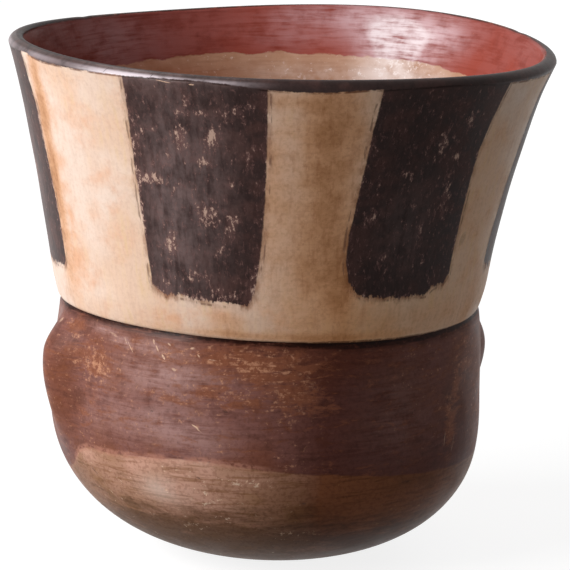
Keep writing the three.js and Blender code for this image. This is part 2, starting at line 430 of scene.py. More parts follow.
@dataclass(frozen=True)
class Design:
    """Where the slips were painted, where they wore and where shade and sheen are painted in, by facing and
    height.
    """

    waist: float = 74.8
    panels: tuple[Panel, ...] = (
        Panel(((86.0, -101.0), (118.0, -102.0), (150.0, -103.5)),
              ((87.0, -64.2), (100.0, -64.3), (126.0, -65.7), (134.0, -66.1), (141.0, -67.7),
               (150.0, -68.6)),
              ((0.0, 87.5), (0.6, 86.6), (1.0, 87.0))),
        Panel(((86.0, -29.6), (89.0, -30.2), (108.0, -31.8), (125.0, -32.8), (150.0, -33.3)),
              ((86.0, -4.2), (92.0, -3.4), (100.0, -2.5), (113.0, -2.0), (126.0, -2.0), (150.0, -2.9)),
              ((0.0, 86.2), (0.3, 86.3), (0.5, 85.6), (0.8, 85.3), (1.0, 85.0))),
        Panel(((87.0, 20.6), (92.0, 19.6), (98.6, 18.0), (107.0, 18.0), (118.0, 19.0), (150.0, 20.3)),
              ((87.0, 50.6), (95.0, 50.2), (128.0, 50.1), (138.7, 51.8), (150.0, 53.4)),
              ((0.0, 89.4), (0.2, 88.0), (0.5, 87.7), (0.74, 87.4), (0.82, 89.4), (1.0, 90.6))),
        Panel(((88.0, 70.0), (99.0, 70.2), (126.0, 72.6), (150.0, 76.0)),
              ((88.0, 104.0), (120.0, 106.5), (150.0, 109.0)),
              ((0.0, 90.2), (0.5, 89.4), (1.0, 88.6))),
        straight_panel(152.0, 31.0, 87.6),
        straight_panel(-146.0, 32.0, 86.2),
    )
    lip_foot: Stops = (
        (-170.0, 148.0), (-140.0, 147.4), (-110.0, 147.9), (-79.0, 147.5), (-66.0, 148.5), (-58.0, 147.6),
        (-47.0, 147.9), (-36.0, 148.3), (-26.0, 148.8), (-19.0, 149.1), (-11.0, 148.7), (-4.0, 147.7),
        (1.5, 147.2), (9.0, 147.1), (17.0, 147.8), (37.0, 148.5), (50.0, 147.7), (70.0, 147.2),
        (90.0, 147.6), (120.0, 148.1), (150.0, 147.4))
    tan_top: Stops = (
        (-175.0, 28.0), (-150.0, 29.5), (-120.0, 27.5), (-90.0, 26.0), (-72.0, 26.6), (-64.5, 29.7),
        (-59.0, 34.6), (-54.0, 36.6), (-42.0, 37.3), (-29.5, 38.7), (-15.0, 40.0), (-2.5, 38.9),
        (5.0, 38.1), (21.0, 37.1), (29.0, 36.2), (45.0, 34.6), (60.0, 33.4), (85.0, 32.0), (120.0, 30.0),
        (150.0, 29.0))
    lip_inside: Stops = (
        (-170.0, 1.4), (-140.0, 1.6), (-118.0, 2.2), (-96.0, 3.0), (-74.0, 2.4), (-52.0, 1.4),
        (-20.0, 0.8), (30.0, 0.7), (70.0, 1.0), (110.0, 0.8), (135.0, 1.4), (160.0, 1.0))
    red_foot: Stops = (
        (-170.0, 136.4), (-152.0, 135.4), (-130.0, 134.4), (-90.0, 133.6), (-40.0, 134.5), (0.0, 135.6),
        (40.0, 134.2), (90.0, 133.0), (124.0, 134.3), (140.0, 135.5), (160.0, 136.2), (175.0, 136.4))
    flecks: tuple[Spot, ...] = spots(
        (-66.2, 128.0, 0.9, 12.0, 0.7), (-65.2, 106.0, 0.9, 8.0, 0.6), (-25.0, 126.0, 2.0, 2.0, 0.5),
        (-6.0, 127.0, 1.2, 5.0, 0.5), (-21.0, 118.0, 3.0, 1.2, 0.45), (-12.0, 101.0, 2.0, 2.0, 0.55),
        (-21.0, 132.0, 2.2, 4.2, 1.0), (-13.8, 133.0, 2.2, 4.2, 0.95), (-16.5, 126.0, 4.0, 1.6, 0.75),
        (-28.2, 119.5, 4.0, 1.9, 1.0), (-15.2, 110.8, 3.6, 3.4, 0.95), (-9.4, 108.6, 2.2, 4.0, 0.9),
        (-24.2, 101.4, 2.2, 4.4, 0.95), (-18.5, 92.9, 3.4, 1.8, 0.7), (-19.2, 142.6, 1.6, 2.0, 0.7),
        (-8.5, 140.8, 3.6, 2.0, 0.75), (-16.5, 139.7, 3.2, 0.9, 0.6), (-21.2, 139.8, 1.2, 2.2, 0.6),
        (-29.8, 133.0, 1.6, 2.0, 0.6), (-10.0, 119.8, 1.4, 1.6, 0.8), (-26.5, 90.5, 2.0, 3.2, 0.5),
        (-31.6, 112.0, 0.9, 14.0, 0.55), (-31.9, 127.0, 0.8, 6.0, 0.55), (-9.0, 88.0, 6.0, 1.6, 0.5),
        (-20.0, 86.6, 9.0, 1.2, 0.55), (-4.0, 92.0, 1.4, 6.0, 0.55), (37.8, 131.8, 2.2, 3.4, 0.85),
        (43.0, 127.6, 1.2, 1.2, 0.95), (42.4, 117.6, 1.8, 5.0, 0.75), (43.0, 110.5, 1.4, 2.0, 0.6),
        (23.0, 111.0, 1.5, 2.4, 0.75), (36.5, 107.0, 1.2, 3.4, 0.55), (27.0, 99.3, 1.8, 2.2, 0.6),
        (39.8, 97.2, 0.9, 1.6, 0.55), (29.8, 123.9, 2.6, 1.2, 0.6), (44.0, 138.0, 2.0, 3.0, 0.55),
        (85.0, 120.0, 4.0, 6.0, 0.8), (98.0, 104.0, 5.0, 4.0, 0.8), (92.0, 135.0, 4.0, 3.0, 0.7),
        (150.0, 128.0, 5.0, 6.0, 0.85), (160.0, 103.0, 4.0, 5.0, 0.8), (144.0, 96.0, 5.0, 3.0, 0.8),
        (-140.0, 125.0, 5.0, 5.0, 0.85), (-153.0, 108.0, 4.0, 6.0, 0.8), (-148.0, 138.0, 5.0, 2.0, 0.7),
        (-80.0, 112.0, 3.0, 6.0, 0.7), (-92.0, 130.0, 4.0, 4.0, 0.8))
    rubbed: tuple[Spot, ...] = spots(
        (-52.0, 58.0, 20.0, 14.0, 0.2), (-20.0, 69.0, 16.0, 3.0, 0.4), (-56.0, 44.0, 9.0, 7.0, 0.3),
        (-51.5, 62.0, 9.0, 6.0, 0.85), (-8.0, 69.5, 13.0, 3.4, 0.6), (2.0, 66.0, 13.0, 8.0, 0.8),
        (-12.0, 60.0, 8.0, 2.6, 0.7), (8.0, 58.0, 8.0, 5.0, 0.7), (-24.0, 56.5, 9.0, 1.6, 0.75),
        (-10.2, 55.1, 3.0, 1.6, 0.9), (-69.0, 48.0, 2.4, 9.0, 0.9), (-74.0, 63.0, 2.0, 9.0, 0.4),
        (-62.0, 71.0, 4.0, 4.0, 0.6), (-80.0, 58.0, 5.0, 4.0, 0.3), (57.0, 46.0, 3.0, 9.0, 1.1),
        (60.0, 58.0, 3.0, 9.0, 0.8), (66.0, 66.0, 5.0, 7.0, 0.55), (82.0, 50.0, 8.0, 8.0, 0.6),
        (120.0, 60.0, 12.0, 6.0, 0.8), (165.0, 52.0, 14.0, 5.0, 0.8), (-160.0, 64.0, 10.0, 4.0, 0.7),
        (-125.0, 50.0, 9.0, 6.0, 0.8), (112.0, 41.0, 6.0, 3.0, 0.6), (-100.0, 40.0, 5.0, 6.0, 0.6),
        (-6.0, 34.4, 7.0, 1.1, 1.0), (-17.0, 30.0, 3.6, 3.4, 1.0), (-14.0, 27.6, 2.4, 2.0, 0.7),
        (-24.0, 19.4, 5.0, 1.6, 0.8), (8.0, 18.0, 8.0, 1.6, 0.8), (-12.0, 22.0, 3.0, 1.4, 0.6),
        (40.0, 24.0, 10.0, 1.6, 0.6), (150.0, 22.0, 10.0, 2.0, 0.8), (-130.0, 20.0, 9.0, 2.0, 0.8),
        (122.0, 150.5, 16.0, 4.0, 1.0), (148.0, 150.5, 9.0, 4.0, 0.5), (-168.0, 150.5, 16.0, 4.0, 0.7),
        (-136.0, 150.5, 16.0, 4.0, 0.7), (-62.0, 148.5, 8.0, 1.2, 0.5))
    soiled: tuple[Spot, ...] = spots(
        (-1.0, 120.0, 4.0, 30.0, 0.35), (-10.0, 80.0, 5.0, 5.0, 0.5), (-63.0, 120.0, 4.5, 44.0, 1.0),
        (11.0, 120.0, 16.0, 36.0, 0.75), (10.0, 92.0, 10.0, 14.0, 0.4), (62.0, 108.0, 15.0, 40.0, 0.35),
        (11.0, 138.0, 8.0, 12.0, 0.5), (13.0, 114.0, 6.0, 14.0, 0.15), (40.0, 80.0, 26.0, 6.0, 0.45),
        (18.0, 90.0, 5.0, 12.0, 0.5), (-52.0, 145.0, 14.0, 3.0, 0.3), (2.0, 145.0, 12.0, 3.0, 0.3),
        (0.0, 76.4, 40.0, 1.4, 0.6), (124.0, 110.0, 18.0, 50.0, 0.55), (-176.0, 92.0, 20.0, 18.0, 0.6),
        (178.0, 132.0, 12.0, 14.0, 0.35), (-118.0, 100.0, 14.0, 22.0, 0.35), (90.0, 80.0, 22.0, 5.0, 0.7))
    blushed: tuple[Spot, ...] = spots(
        (-11.0, 26.0, 9.0, 8.0, 0.8), (-27.0, 29.0, 13.0, 9.0, 1.0), (-54.0, 34.5, 5.0, 3.0, 0.9),
        (-6.0, 36.0, 12.0, 3.0, 0.7), (-44.0, 30.0, 9.0, 6.0, 0.5), (136.0, 24.0, 16.0, 7.0, 0.8),
        (-150.0, 25.0, 14.0, 6.0, 0.7), (-42.0, 113.0, 6.0, 7.0, 0.7), (-41.0, 101.0, 7.0, 4.0, 0.6),
        (-60.5, 120.0, 6.0, 40.0, 0.7), (-58.0, 96.0, 5.0, 8.0, 0.55), (-47.0, 134.0, 6.0, 7.0, 0.7),
        (-26.0, 79.5, 9.0, 3.0, 0.8), (-15.0, 82.0, 8.0, 2.5, 0.6), (4.0, 82.0, 5.0, 5.0, 0.6),
        (13.0, 108.0, 3.0, 9.0, 0.5), (-52.0, 86.0, 7.0, 5.0, 0.6), (125.0, 120.0, 6.0, 12.0, 0.6),
        (-175.0, 112.0, 6.0, 12.0, 0.6), (-118.0, 124.0, 6.0, 10.0, 0.6), (65.0, 92.0, 5.0, 6.0, 0.5))
    # Painted shade: the outside is darkened, mostly on the side turned away from the lamp.
    painted_shade: tuple[Spot, ...] = spots(
        (20.0, 56.0, 17.0, 30.0, 1.0), (52.0, 52.0, 24.0, 30.0, 0.4), (30.0, 22.0, 26.0, 18.0, 1.1),
        (62.0, 28.0, 24.0, 20.0, 0.7), (62.0, 46.0, 6.0, 22.0, 0.45), (-74.0, 24.0, 18.0, 12.0, 0.45),
        (150.0, 30.0, 24.0, 16.0, 0.6), (-140.0, 56.0, 24.0, 14.0, 0.4), (-160.0, 18.0, 30.0, 10.0, 0.6),
        (38.0, 120.0, 26.0, 60.0, 0.7), (100.0, 116.0, 26.0, 40.0, 0.5), (155.0, 110.0, 20.0, 30.0, 0.4))
    # Painted sheen: spots where a pale sheen is painted into the colour, and the burnish is raised with it.
    painted_sheen: tuple[Spot, ...] = spots(
        (-33.0, 150.5, 15.0, 3.6, 1.2), (-60.0, 150.0, 12.0, 3.0, 0.35), (-12.0, 150.0, 9.0, 3.0, 0.4),
        (-49.0, 71.8, 7.0, 1.4, 1.2), (-42.0, 69.6, 5.0, 1.2, 1.0), (-32.0, 70.0, 9.0, 3.0, 0.8),
        (-78.0, 62.0, 5.0, 9.0, 0.6), (-32.0, 62.0, 15.0, 5.0, 0.9), (-20.0, 63.0, 10.0, 2.4, 0.7),
        (-28.0, 49.0, 14.0, 6.0, 0.9), (-46.0, 48.0, 8.0, 8.0, 0.4), (-16.0, 45.0, 9.0, 5.0, 0.5),
        (-29.0, 29.6, 7.0, 3.6, 0.9), (-24.0, 112.0, 9.0, 38.0, 0.9), (-14.0, 120.0, 7.0, 24.0, 0.5),
        (-84.0, 116.0, 16.0, 44.0, 0.6), (33.0, 108.0, 9.0, 14.0, 0.4), (34.0, 54.0, 15.0, 18.0, 0.5),
        (155.0, 118.0, 10.0, 18.0, 0.4), (-146.0, 120.0, 10.0, 18.0, 0.4), (150.0, 62.0, 16.0, 5.0, 0.4),
        (-150.0, 46.0, 16.0, 5.0, 0.4))
    # Painted shade inside the mouth, on the wall that the lip keeps from the lamp.
    inside_painted_shade: tuple[Spot, ...] = spots(
        (-92.0, 142.0, 52.0, 26.0, 1.0), (0.0, 140.0, 60.0, 30.0, 0.4), (-150.0, 128.0, 20.0, 5.0, 0.6))
    # Painted highlights inside the mouth, where the lamp's glint falls on the far wall.
    inside_painted_highlights: tuple[Spot, ...] = spots(
        (163.0, 146.0, 9.0, 4.0, 0.35), (152.0, 143.0, 13.0, 5.0, 1.0), (148.0, 136.0, 11.0, 4.0, 0.9),
        (142.0, 130.0, 14.0, 3.0, 0.8), (172.0, 130.0, 18.0, 2.6, 0.5), (138.0, 144.0, 12.0, 5.0, 0.7),
        (174.0, 147.0, 12.0, 3.0, 0.5), (-134.0, 142.0, 16.0, 9.0, 0.35), (158.0, 149.0, 16.0, 3.0, 0.4),
        (151.0, 141.0, 8.0, 7.0, 0.8), (152.0, 131.0, 10.0, 3.0, 0.7), (178.0, 141.0, 14.0, 4.0, 0.3))

    def fields(self, facing: Array, height: Array, radius: Array, past_ridge: Array) -> dict[str, Array]:
        """Every value that the paint needs at each point of a surface.

        Args:
            facing: Degrees from the photographed side.
            height: Height over the table before the lean.
            radius: The wall's radius.
            past_ridge: How far past the lip's ridge a point lies on the inner side, in millimetres.

        Returns:
            One array for each named attribute: distances in millimetres, positive inside the painted area,
            and amounts of wear, soil, blush, painted shade and painted sheen from 0 to about 1.
        """
        outside = past_ridge < 0.0

        def sums(row: tuple[Spot, ...]) -> Array:
            """The sum of some spots, held between nothing and the largest sum."""
            return np.clip(total(row, facing, height, radius), 0.0, MOST_SPOT_SUM)

        panel = np.max([row.depth(facing, height, radius) for row in self.panels], axis=0)
        over_foot = height - between(facing, self.lip_foot, 360.0)
        inside_edge = between(facing, self.lip_inside, 360.0) - past_ridge
        return {
            "panel": np.where(outside, panel, -FAR_OFF),
            "tufted": np.max([row.tufts(facing, height) for row in self.panels], axis=0),
            "lip": np.minimum(over_foot, inside_edge),
            "red": height - between(facing, self.red_foot, 360.0),
            "maroon": height - between(facing, self.tan_top, 360.0),
            "past": past_ridge + 0.0 * facing,
            "rise": height - self.waist + 0.0 * facing,
            "flecked": sums(self.flecks),
            "rubbed": sums(self.rubbed),
            "soiled": sums(self.soiled),
            "blushed": sums(self.blushed),
            "painted_shade": np.where(outside, sums(self.painted_shade), sums(self.inside_painted_shade)),
            "painted_sheen": np.where(outside, sums(self.painted_sheen), sums(self.inside_painted_highlights)),
        }


@dataclass(frozen=True)
class Surface:
    """A closed surface on a grid of rows and columns, with the values that its paint needs at each point.

    The columns run once round the cup. The rows run along the wall's section, and either close on
    themselves or end in a pole at each end.
    """

    name: str
    points: Array
    fields: dict[str, Array]
    heights: Array
    facings: Array
    closed: bool
    sharp_rows: tuple[int, ...] = ()
    turned: bool = False

    def grid(self, values: Array) -> Array:
        """Values spread over the whole grid of rows and columns."""
        return np.broadcast_to(values, self.points.shape[:2])

    def faces(self) -> tuple[Array, Array]:
        """Four-sided faces between neighbouring rows and columns, and three-sided ones at the poles.

        Returns:
            The point numbers of the four-sided and of the three-sided faces.
        """
        rows, columns = self.points.shape[:2]
        index = np.arange(rows * columns).reshape(rows, columns)
        low = index if self.closed else index[:-1]
        high = np.roll(index, -1, axis=0) if self.closed else index[1:]
        quads = np.stack([low, np.roll(low, -1, 1), np.roll(high, -1, 1), high], axis=-1).reshape(-1, 4)
        if self.closed:
            return quads, np.zeros((0, 3), int)
        first = np.full(columns, rows * columns)
        last = first + 1
        start = np.stack([first, np.roll(index[0], -1), index[0]], axis=-1)
        end = np.stack([last, index[-1], np.roll(index[-1], -1)], axis=-1)
        return quads, np.concatenate([start, end])

    def build(self, poles: Array | None = None) -> bpy.types.Object:
        """Makes the mesh, marks its corner rings sharp and stores the paint's values on its points.

        Args:
            poles: The first and the last pole, for a surface whose rows don't close.

        Returns:
            The new object.
        """
        vertices = self.points.reshape(-1, 3)
        if poles is not None:
            vertices = np.concatenate([vertices, poles])
        quads, triangles = self.faces()
        if self.turned:
            quads, triangles = quads[:, ::-1], triangles[:, ::-1]
        mesh = bpy.data.meshes.new(self.name)
        mesh.from_pydata((vertices * MM).tolist(), [], quads.tolist() + triangles.tolist())
        mesh.polygons.foreach_set("use_smooth", np.ones(len(mesh.polygons), bool))
        self.mark_sharp(mesh)
        for name, values in self.fields.items():
            grid = self.grid(values)
            flat = grid.reshape(-1)
            if poles is not None:
                flat = np.concatenate([flat, [float(grid[0].mean()), float(grid[-1].mean())]])
            store = mesh.attributes.new(name, "FLOAT", "POINT")
            store.data.foreach_set("value", flat.astype(np.float32))
        self.lay_map(mesh)
        return put(self.name, mesh)

    def mark_sharp(self, mesh: bpy.types.Mesh) -> None:
        """Marks the edges that run along the corner rings, so that a joint's corner doesn't shade the wall.

        Args:
            mesh: The mesh.
        """
        ends = np.zeros(len(mesh.edges) * 2, np.int32)
        mesh.edges.foreach_get("vertices", ends)
        rows = ends.reshape(-1, 2) // self.points.shape[1]
        sharp = (rows[:, 0] == rows[:, 1]) & np.isin(rows[:, 0], self.sharp_rows)
        store = mesh.attributes.new("sharp_edge", "BOOLEAN", "EDGE")
        store.data.foreach_set("value", sharp)

    def lay_map(self, mesh: bpy.types.Mesh) -> None:
        """Adds the map named Around: millimetres round the belly from the photographed side, and height.

        It is kept at the faces' corners, so the column behind the cup, where 180 meets -180, stays whole.
        A pole takes the facing of its face's other corners.

        Args:
            mesh: The mesh.
        """
        corner = np.zeros(len(mesh.loops), np.int32)
        mesh.loops.foreach_get("vertex_index", corner)
        starts = np.zeros(len(mesh.polygons), np.int32)
        mesh.polygons.foreach_get("loop_start", starts)
        first = starts[np.searchsorted(starts, np.arange(len(corner)), side="right") - 1]
        facing, height = self.grid(self.facings).reshape(-1), self.grid(self.heights).reshape(-1)
        pole = corner >= len(height)
        known = np.where(pole, 0, corner)
        across = facing[known]
        up = np.where(pole, height[np.where(corner == len(height), 0, -1)], height[known])
        anchor = np.where(pole[first], across[np.minimum(first + 1, len(corner) - 1)], across[first])
        across = np.where(pole, anchor, across)
        across = (across + 360.0 * np.round((anchor - across) / 360.0)) * MAP_SCALE
        layer = mesh.uv_layers.new(name="Around")
        layer.uv.foreach_set("vector", np.stack([across, up], axis=-1).astype(np.float32).ravel())


@dataclass(frozen=True)
class Stretch:
    """Some rows of a wall: their heights, radii and points, and how far past the lip's ridge they lie."""

    heights: Array
    radii: Array
    points: Array
    past: Array


@dataclass(frozen=True)
class Wall:
    """Builds the rings of one piece of the cup's wall from the shared form and the painted design."""

    shape: CupShape
    design: Design
    columns: int = 560
    samples: int = 4000
    own_rise: float = 1.13
    own_shift: float = 7.0
    own_turn: float = 1.0
    least_radius: float = 1.0

    def turns(self) -> Array:
        """The angle of each column, with the first behind the cup."""
        return math.pi / 2.0 + np.arange(self.columns) * 2.0 * math.pi / self.columns

    def even_heights(self, low: float, high: float, count: int, radius: Callable[[Array], Array]) -> Array:
        """Heights between two levels at even steps along the wall's section, whose length is added up.

        Args:
            low: The lowest height.
            high: The highest height.
            count: How many heights.
            radius: A function that gives the wall's radius at a height.

        Returns:
            The heights, low first.
        """
        dense = low + (high - low) * np.linspace(0.0, 1.0, self.samples) ** 3
        step = np.hypot(np.diff(dense), np.diff(radius(dense)))
        along = np.concatenate([[0.0], np.cumsum(step)])
        return np.interp(np.linspace(along[0], along[-1], count), along, dense)

    def outside(self, heights: Array, past: Array | None = None, limit: float = math.inf) -> Stretch:
        """Rows of the outside, hand marks included.

        Args:
            heights: One height for each row.
            past: How far past the lip's ridge each row lies, where that matters.
            limit: The height that no point of a row passes.

        Returns:
            The rows.
        """
        height, turn = np.minimum(heights, limit)[:, None], self.turns()[None, :]
        below = self.shape.belly_outside(height) + 0.0 * turn
        above = self.shape.neck_outside(height, turn)
        upper = height >= self.shape.waist_height
        radius = np.where(upper, above, below) + self.shape.hand_marks(height, turn)
        past = np.full(len(heights), Side.OUTSIDE.value) if past is None else past
        return Stretch(heights, radius, self.shape.place(radius, turn, height), past)

    def inside(self, heights: Array, past: Array | None = None) -> Stretch:
        """Rows of the inside, with hand marks of its own that fade out towards the floor.

        Args:
            heights: One height for each row.
            past: How far past the lip's ridge each row lies, where that matters.

        Returns:
            The rows.
        """
        height, turn = heights[:, None], self.turns()[None, :]
        marks = self.shape.hand_marks(height * self.own_rise + self.own_shift, turn + self.own_turn)
        marks = marks * smooth_step((height - self.shape.floor) / self.shape.bowl_joint_height)
        radius = self.shape.inside(height) + marks
        past = np.full(len(heights), Side.INSIDE.value) if past is None else past
        return Stretch(heights, radius, self.shape.place(radius, turn, height), past)

    def surface(self, name: str, parts: tuple[Stretch, ...], closed: bool,
                sharp: tuple[int, ...]) -> Surface:
        """Joins stretches of rows into one surface and works out its paint.

        Args:
            name: The piece's name.
            parts: The stretches, in order along the section.
            closed: Whether the last row meets the first.
            sharp: Rows that are corners.

        Returns:
            The surface.
        """
        facing = facing_of(self.turns())[None, :]
        heights = np.concatenate([part.heights for part in parts])[:, None]
        radii = np.concatenate([part.radii for part in parts])
        points = np.concatenate([part.points for part in parts])
        past = np.concatenate([part.past for part in parts])[:, None]
        fields = self.design.fields(facing, heights, np.maximum(radii, self.least_radius), past)
        return Surface(name, points, fields, heights, facing, closed, sharp)

    def sleeve(self, name: str, outer: Stretch, inner: Stretch) -> bpy.types.Object:
        """A piece open at both ends: the outside up, the inside down, and a joint face at each end."""
        up, down = len(outer.heights), len(inner.heights)
        return self.surface(name, (outer, inner), True, (0, up - 1, up, up + down - 1)).build()


@dataclass(frozen=True)
class BaseBowl(Wall):
    """The pinched bowl at the bottom, with its small worn foot."""

    outer_rows: int = 84
    inner_rows: int = 84
    foot_rows: int = 6

    def build(self) -> bpy.types.Object:
        """The foot's disc, the outside, the joint face and the inside, with a pole under and over the floor.

        Returns:
            The piece.
        """
        shape, turn = self.shape, self.turns()[None, :]
        top = shape.bowl_joint_height
        disc = np.linspace(shape.foot_radius / self.foot_rows, shape.foot_radius, self.foot_rows + 1)[:-1]
        flat = np.zeros(len(disc))
        radii = disc[:, None] + 0.0 * turn
        foot = Stretch(flat, radii, shape.place(radii, turn, flat[:, None]), flat + Side.OUTSIDE.value)
        outer = self.even_heights(0.0, top, self.outer_rows, shape.belly_outside)
        inner = self.even_heights(shape.floor, top, self.inner_rows + 1, shape.inside)[1:][::-1]
        last = len(disc) + len(outer)
        parts = (foot, self.outside(outer), self.inside(inner))
        skin = self.surface("clay_base_bowl", parts, False, (last - 1, last))
        ends = np.array([[shape.origin_shift + float(shape.middle(np.array(height))), 0.0, height]
                         for height in (0.0, shape.floor)])
        return skin.build(ends)


@dataclass(frozen=True)
class BellyWall(Wall):
    """The coiled wall of the belly, up to the crease at the waist, where its rows stand closer."""

    outer_rows: int = 92
    inner_rows: int = 70
    crease_rows: int = 18
    crease_reach: float = 4.0
    hair: float = 1e-6

    def build(self) -> bpy.types.Object:
        """The belly's sleeve, whose last row stays a hair under the waist, where the neck's foot begins.

        Returns:
            The piece.
        """
        low, high = self.shape.bowl_joint_height, self.shape.waist_height
        bend = high - self.crease_reach
        wide = np.linspace(low, bend, self.outer_rows - self.crease_rows + 1)[:-1]
        outer = np.concatenate([wide, np.linspace(bend, high, self.crease_rows)])
        inner = np.linspace(high, low, self.inner_rows)
        skin = self.outside(outer, limit=high - self.hair)
        return self.sleeve("clay_belly_wall", skin, self.inside(inner))


@dataclass(frozen=True)
class NeckWall(Wall):
    """The coiled neck, with the rounded ledge that overhangs the crease."""

    outer_rows: int = 100
    inner_rows: int = 72
    edge_rows: int = 12
    edge_share: float = 1.3
    edge_power: float = 1.6

    def build(self) -> bpy.types.Object:
        """The neck's sleeve, with rows that close up towards the ledge's rounded edge.

        Returns:
            The piece.
        """
        low, high = self.shape.waist_height, self.shape.coil_joint_height
        reach = self.shape.edge_height * self.edge_share
        edge = low + reach * np.linspace(0.0, 1.0, self.edge_rows) ** self.edge_power
        above = np.linspace(edge[-1], high, self.outer_rows - self.edge_rows + 1)
        outer = self.outside(np.concatenate([edge[:-1], above]))
        return self.sleeve("clay_neck_wall", outer, self.inside(np.linspace(high, low, self.inner_rows)))


@dataclass(frozen=True)
class RimCoil(Wall):
    """The last coil, pinched to a round, uneven lip with a few old chips."""

    outer_rows: int = 40
    inner_rows: int = 40
    round_rows: int = 22
    round_step: float = 1.97
    chips: tuple[Spot, ...] = spots(
        (114.0, 149.7, 2.4, 1.1, 0.2), (-128.0, 149.8, 2.0, 1.0, 0.2), (-63.0, 148.6, 1.2, 0.7, 0.15))

    def build(self) -> bpy.types.Object:
        """The outside up, over the lip's half ellipse and down the inside, with a joint face at the foot.

        Returns:
            The piece.
        """
        shape, turn = self.shape, self.turns()[None, :]
        low, high, tilt = shape.coil_joint_height, shape.rim_height, shape.lip_tilt
        edge = self.round_step * math.pi / 2.0
        outer_heights = np.linspace(low, high - tilt, self.outer_rows)
        inner_heights = np.linspace(high + tilt, low, self.inner_rows)
        outer = self.outside(outer_heights, outer_heights - outer_heights[-1] - edge)
        inner = self.inside(inner_heights, inner_heights[0] - inner_heights + edge)
        sweep = np.linspace(0.0, math.pi, self.round_rows + 2)[1:-1][:, None]
        start, end = outer.radii[-1:], inner.radii[:1]
        radius = (start + end) / 2.0 + (start - end) / 2.0 * np.cos(sweep)
        height = high + shape.lip_round * np.sin(sweep) - tilt * np.cos(sweep)
        bite = total(self.chips, facing_of(turn), height, radius)
        past = (sweep[:, 0] - math.pi / 2.0) * self.round_step
        lip = Stretch(height[:, 0], radius, shape.place(radius, turn, height - bite), past)
        rows = self.outer_rows + self.round_rows + self.inner_rows
        return self.surface("clay_rim_coil", (outer, lip, inner), True, (0, rows - 1)).build()


@dataclass(frozen=True)
class Lug:
    """A modelled lug: a low mound smeared on to the belly, one on each side."""

    name: str
    node: str
    shape: CupShape
    design: Design
    turn_degrees: float
    height: float
    below: float
    half_width: float
    out: float
    rings: int = 90
    spokes: int = 240
    softness: float = 3.0
    spread: float = 1.42
    sunk: float = 0.01
    core: float = 2.2
    over_waist: float = 3.4

    def build(self) -> bpy.types.Object:
        """The mound over an oval footprint, and a back that lies inside the belly's wall.

        The front stands out by out * (1 - reach^2)^softness over the belly, less a hair's breadth, so its
        rim slides under the belly's skin. The back is the same oval, sunk by core.

        Returns:
            The piece.
        """
        shape = self.shape
        above = shape.waist_height + self.over_waist - self.height
        reach = np.linspace(0.0, 1.0, self.rings + 1)[1:][:, None]
        angle = np.arange(self.spokes)[None, :] * 2.0 * math.pi / self.spokes
        tall = np.where(np.sin(angle) > 0.0, above, self.below * self.spread)
        wide = self.half_width * self.spread / shape.belly_radius
        turn = math.radians(self.turn_degrees) - reach * np.cos(angle) * wide
        level = self.height + reach * np.sin(angle) * tall
        swell = self.out * (1.0 - reach**2) ** self.softness - self.sunk
        skin = shape.belly_outside(level) + shape.hand_marks(level, turn)
        front = shape.place(skin + swell, turn, level)
        back = shape.place(skin - self.core, turn, level)[::-1]
        turns, levels = np.concatenate([turn, turn[::-1]]), np.concatenate([level, level[::-1]])
        radius, past = np.full(turns.shape, shape.belly_radius), np.full(turns.shape, Side.OUTSIDE.value)
        facing = facing_of(turns)
        fields = self.design.fields(facing, levels, radius, past)
        points = np.concatenate([front, back])
        surface = Surface(self.name, points, fields, levels, facing, False, turned=True)
        middle, middle_turn = np.array(self.height), np.array(math.radians(self.turn_degrees))
        wall = shape.belly_outside(middle) + shape.hand_marks(middle, middle_turn)
        poles = [shape.place(wall + off, middle_turn, middle) for off in (self.out - self.sunk, -self.core)]
        return surface.build(np.stack(poles))


@dataclass(frozen=True)
class Colour:
    """A colour as it looks on the screen, 0 to 255 a channel."""

    red: int
    green: int
    blue: int

    def linear(self) -> tuple[float, float, float, float]:
        """The same colour in linear light, by the screen's standard curve, with a full fourth channel.

        Returns:
            Red, green, blue and 1.
        """
        channels = []
        for value in (self.red, self.green, self.blue):
            share = value / 255.0
            channels.append(share / 12.92 if share <= 0.04045 else ((share + 0.055) / 1.055) ** 2.4)
        return channels[0], channels[1], channels[2], 1.0


Paint = Socket | Colour


class Blend(Enum):
    """How a colour is laid on another, by the Mix node's own names."""

    COVER = "MIX"
    STAIN = "MULTIPLY"


class Operation(Enum):
    """The arithmetic that the paint uses, by the Math node's own names."""

    ADD = "ADD"
    TAKE = "SUBTRACT"
    TIMES = "MULTIPLY"
    WEIGH = "MULTIPLY_ADD"
    LEAST = "MINIMUM"
    MOST = "MAXIMUM"
    SIZE = "ABSOLUTE"


@dataclass(frozen=True)
class Tone:
    """A colour, how strongly it shows at most, and how it is laid on."""

    colour: Colour
    share: float = 1.0
    blend: Blend = Blend.COVER


@dataclass(frozen=True)
class Wash:
    """A tone laid where a pattern rises from low to high, or falls where low is over high."""

    colour: Colour
    low: float
    high: float
    share: float = 1.0
    blend: Blend = Blend.COVER


@dataclass(frozen=True)
class Stain(Wash):
    """A wash that darkens what it lies on, by multiplying it."""

    blend: Blend = Blend.STAIN


@dataclass(frozen=True)
class Pattern:
    """Smooth noise: its scales across and up, its shift, its finer layers, their strength and its bend."""

    across: float
    up: float
    shift: float
    detail: float = 3.0
    rough: float = 0.55
    bend: float = 0.0


@dataclass(frozen=True)
class Mark:
    """A scratch, crack or pit at one place on the wall, in millimetres and degrees."""

    facing: float
    height: float
    length: float
    width: float
    slant: float
    strength: float


def marks(*rows: tuple[float, float, float, float, float, float]) -> tuple[Mark, ...]:
    """Marks from rows of facing, height, length, width, slant and strength."""
    return tuple(Mark(*row) for row in rows)


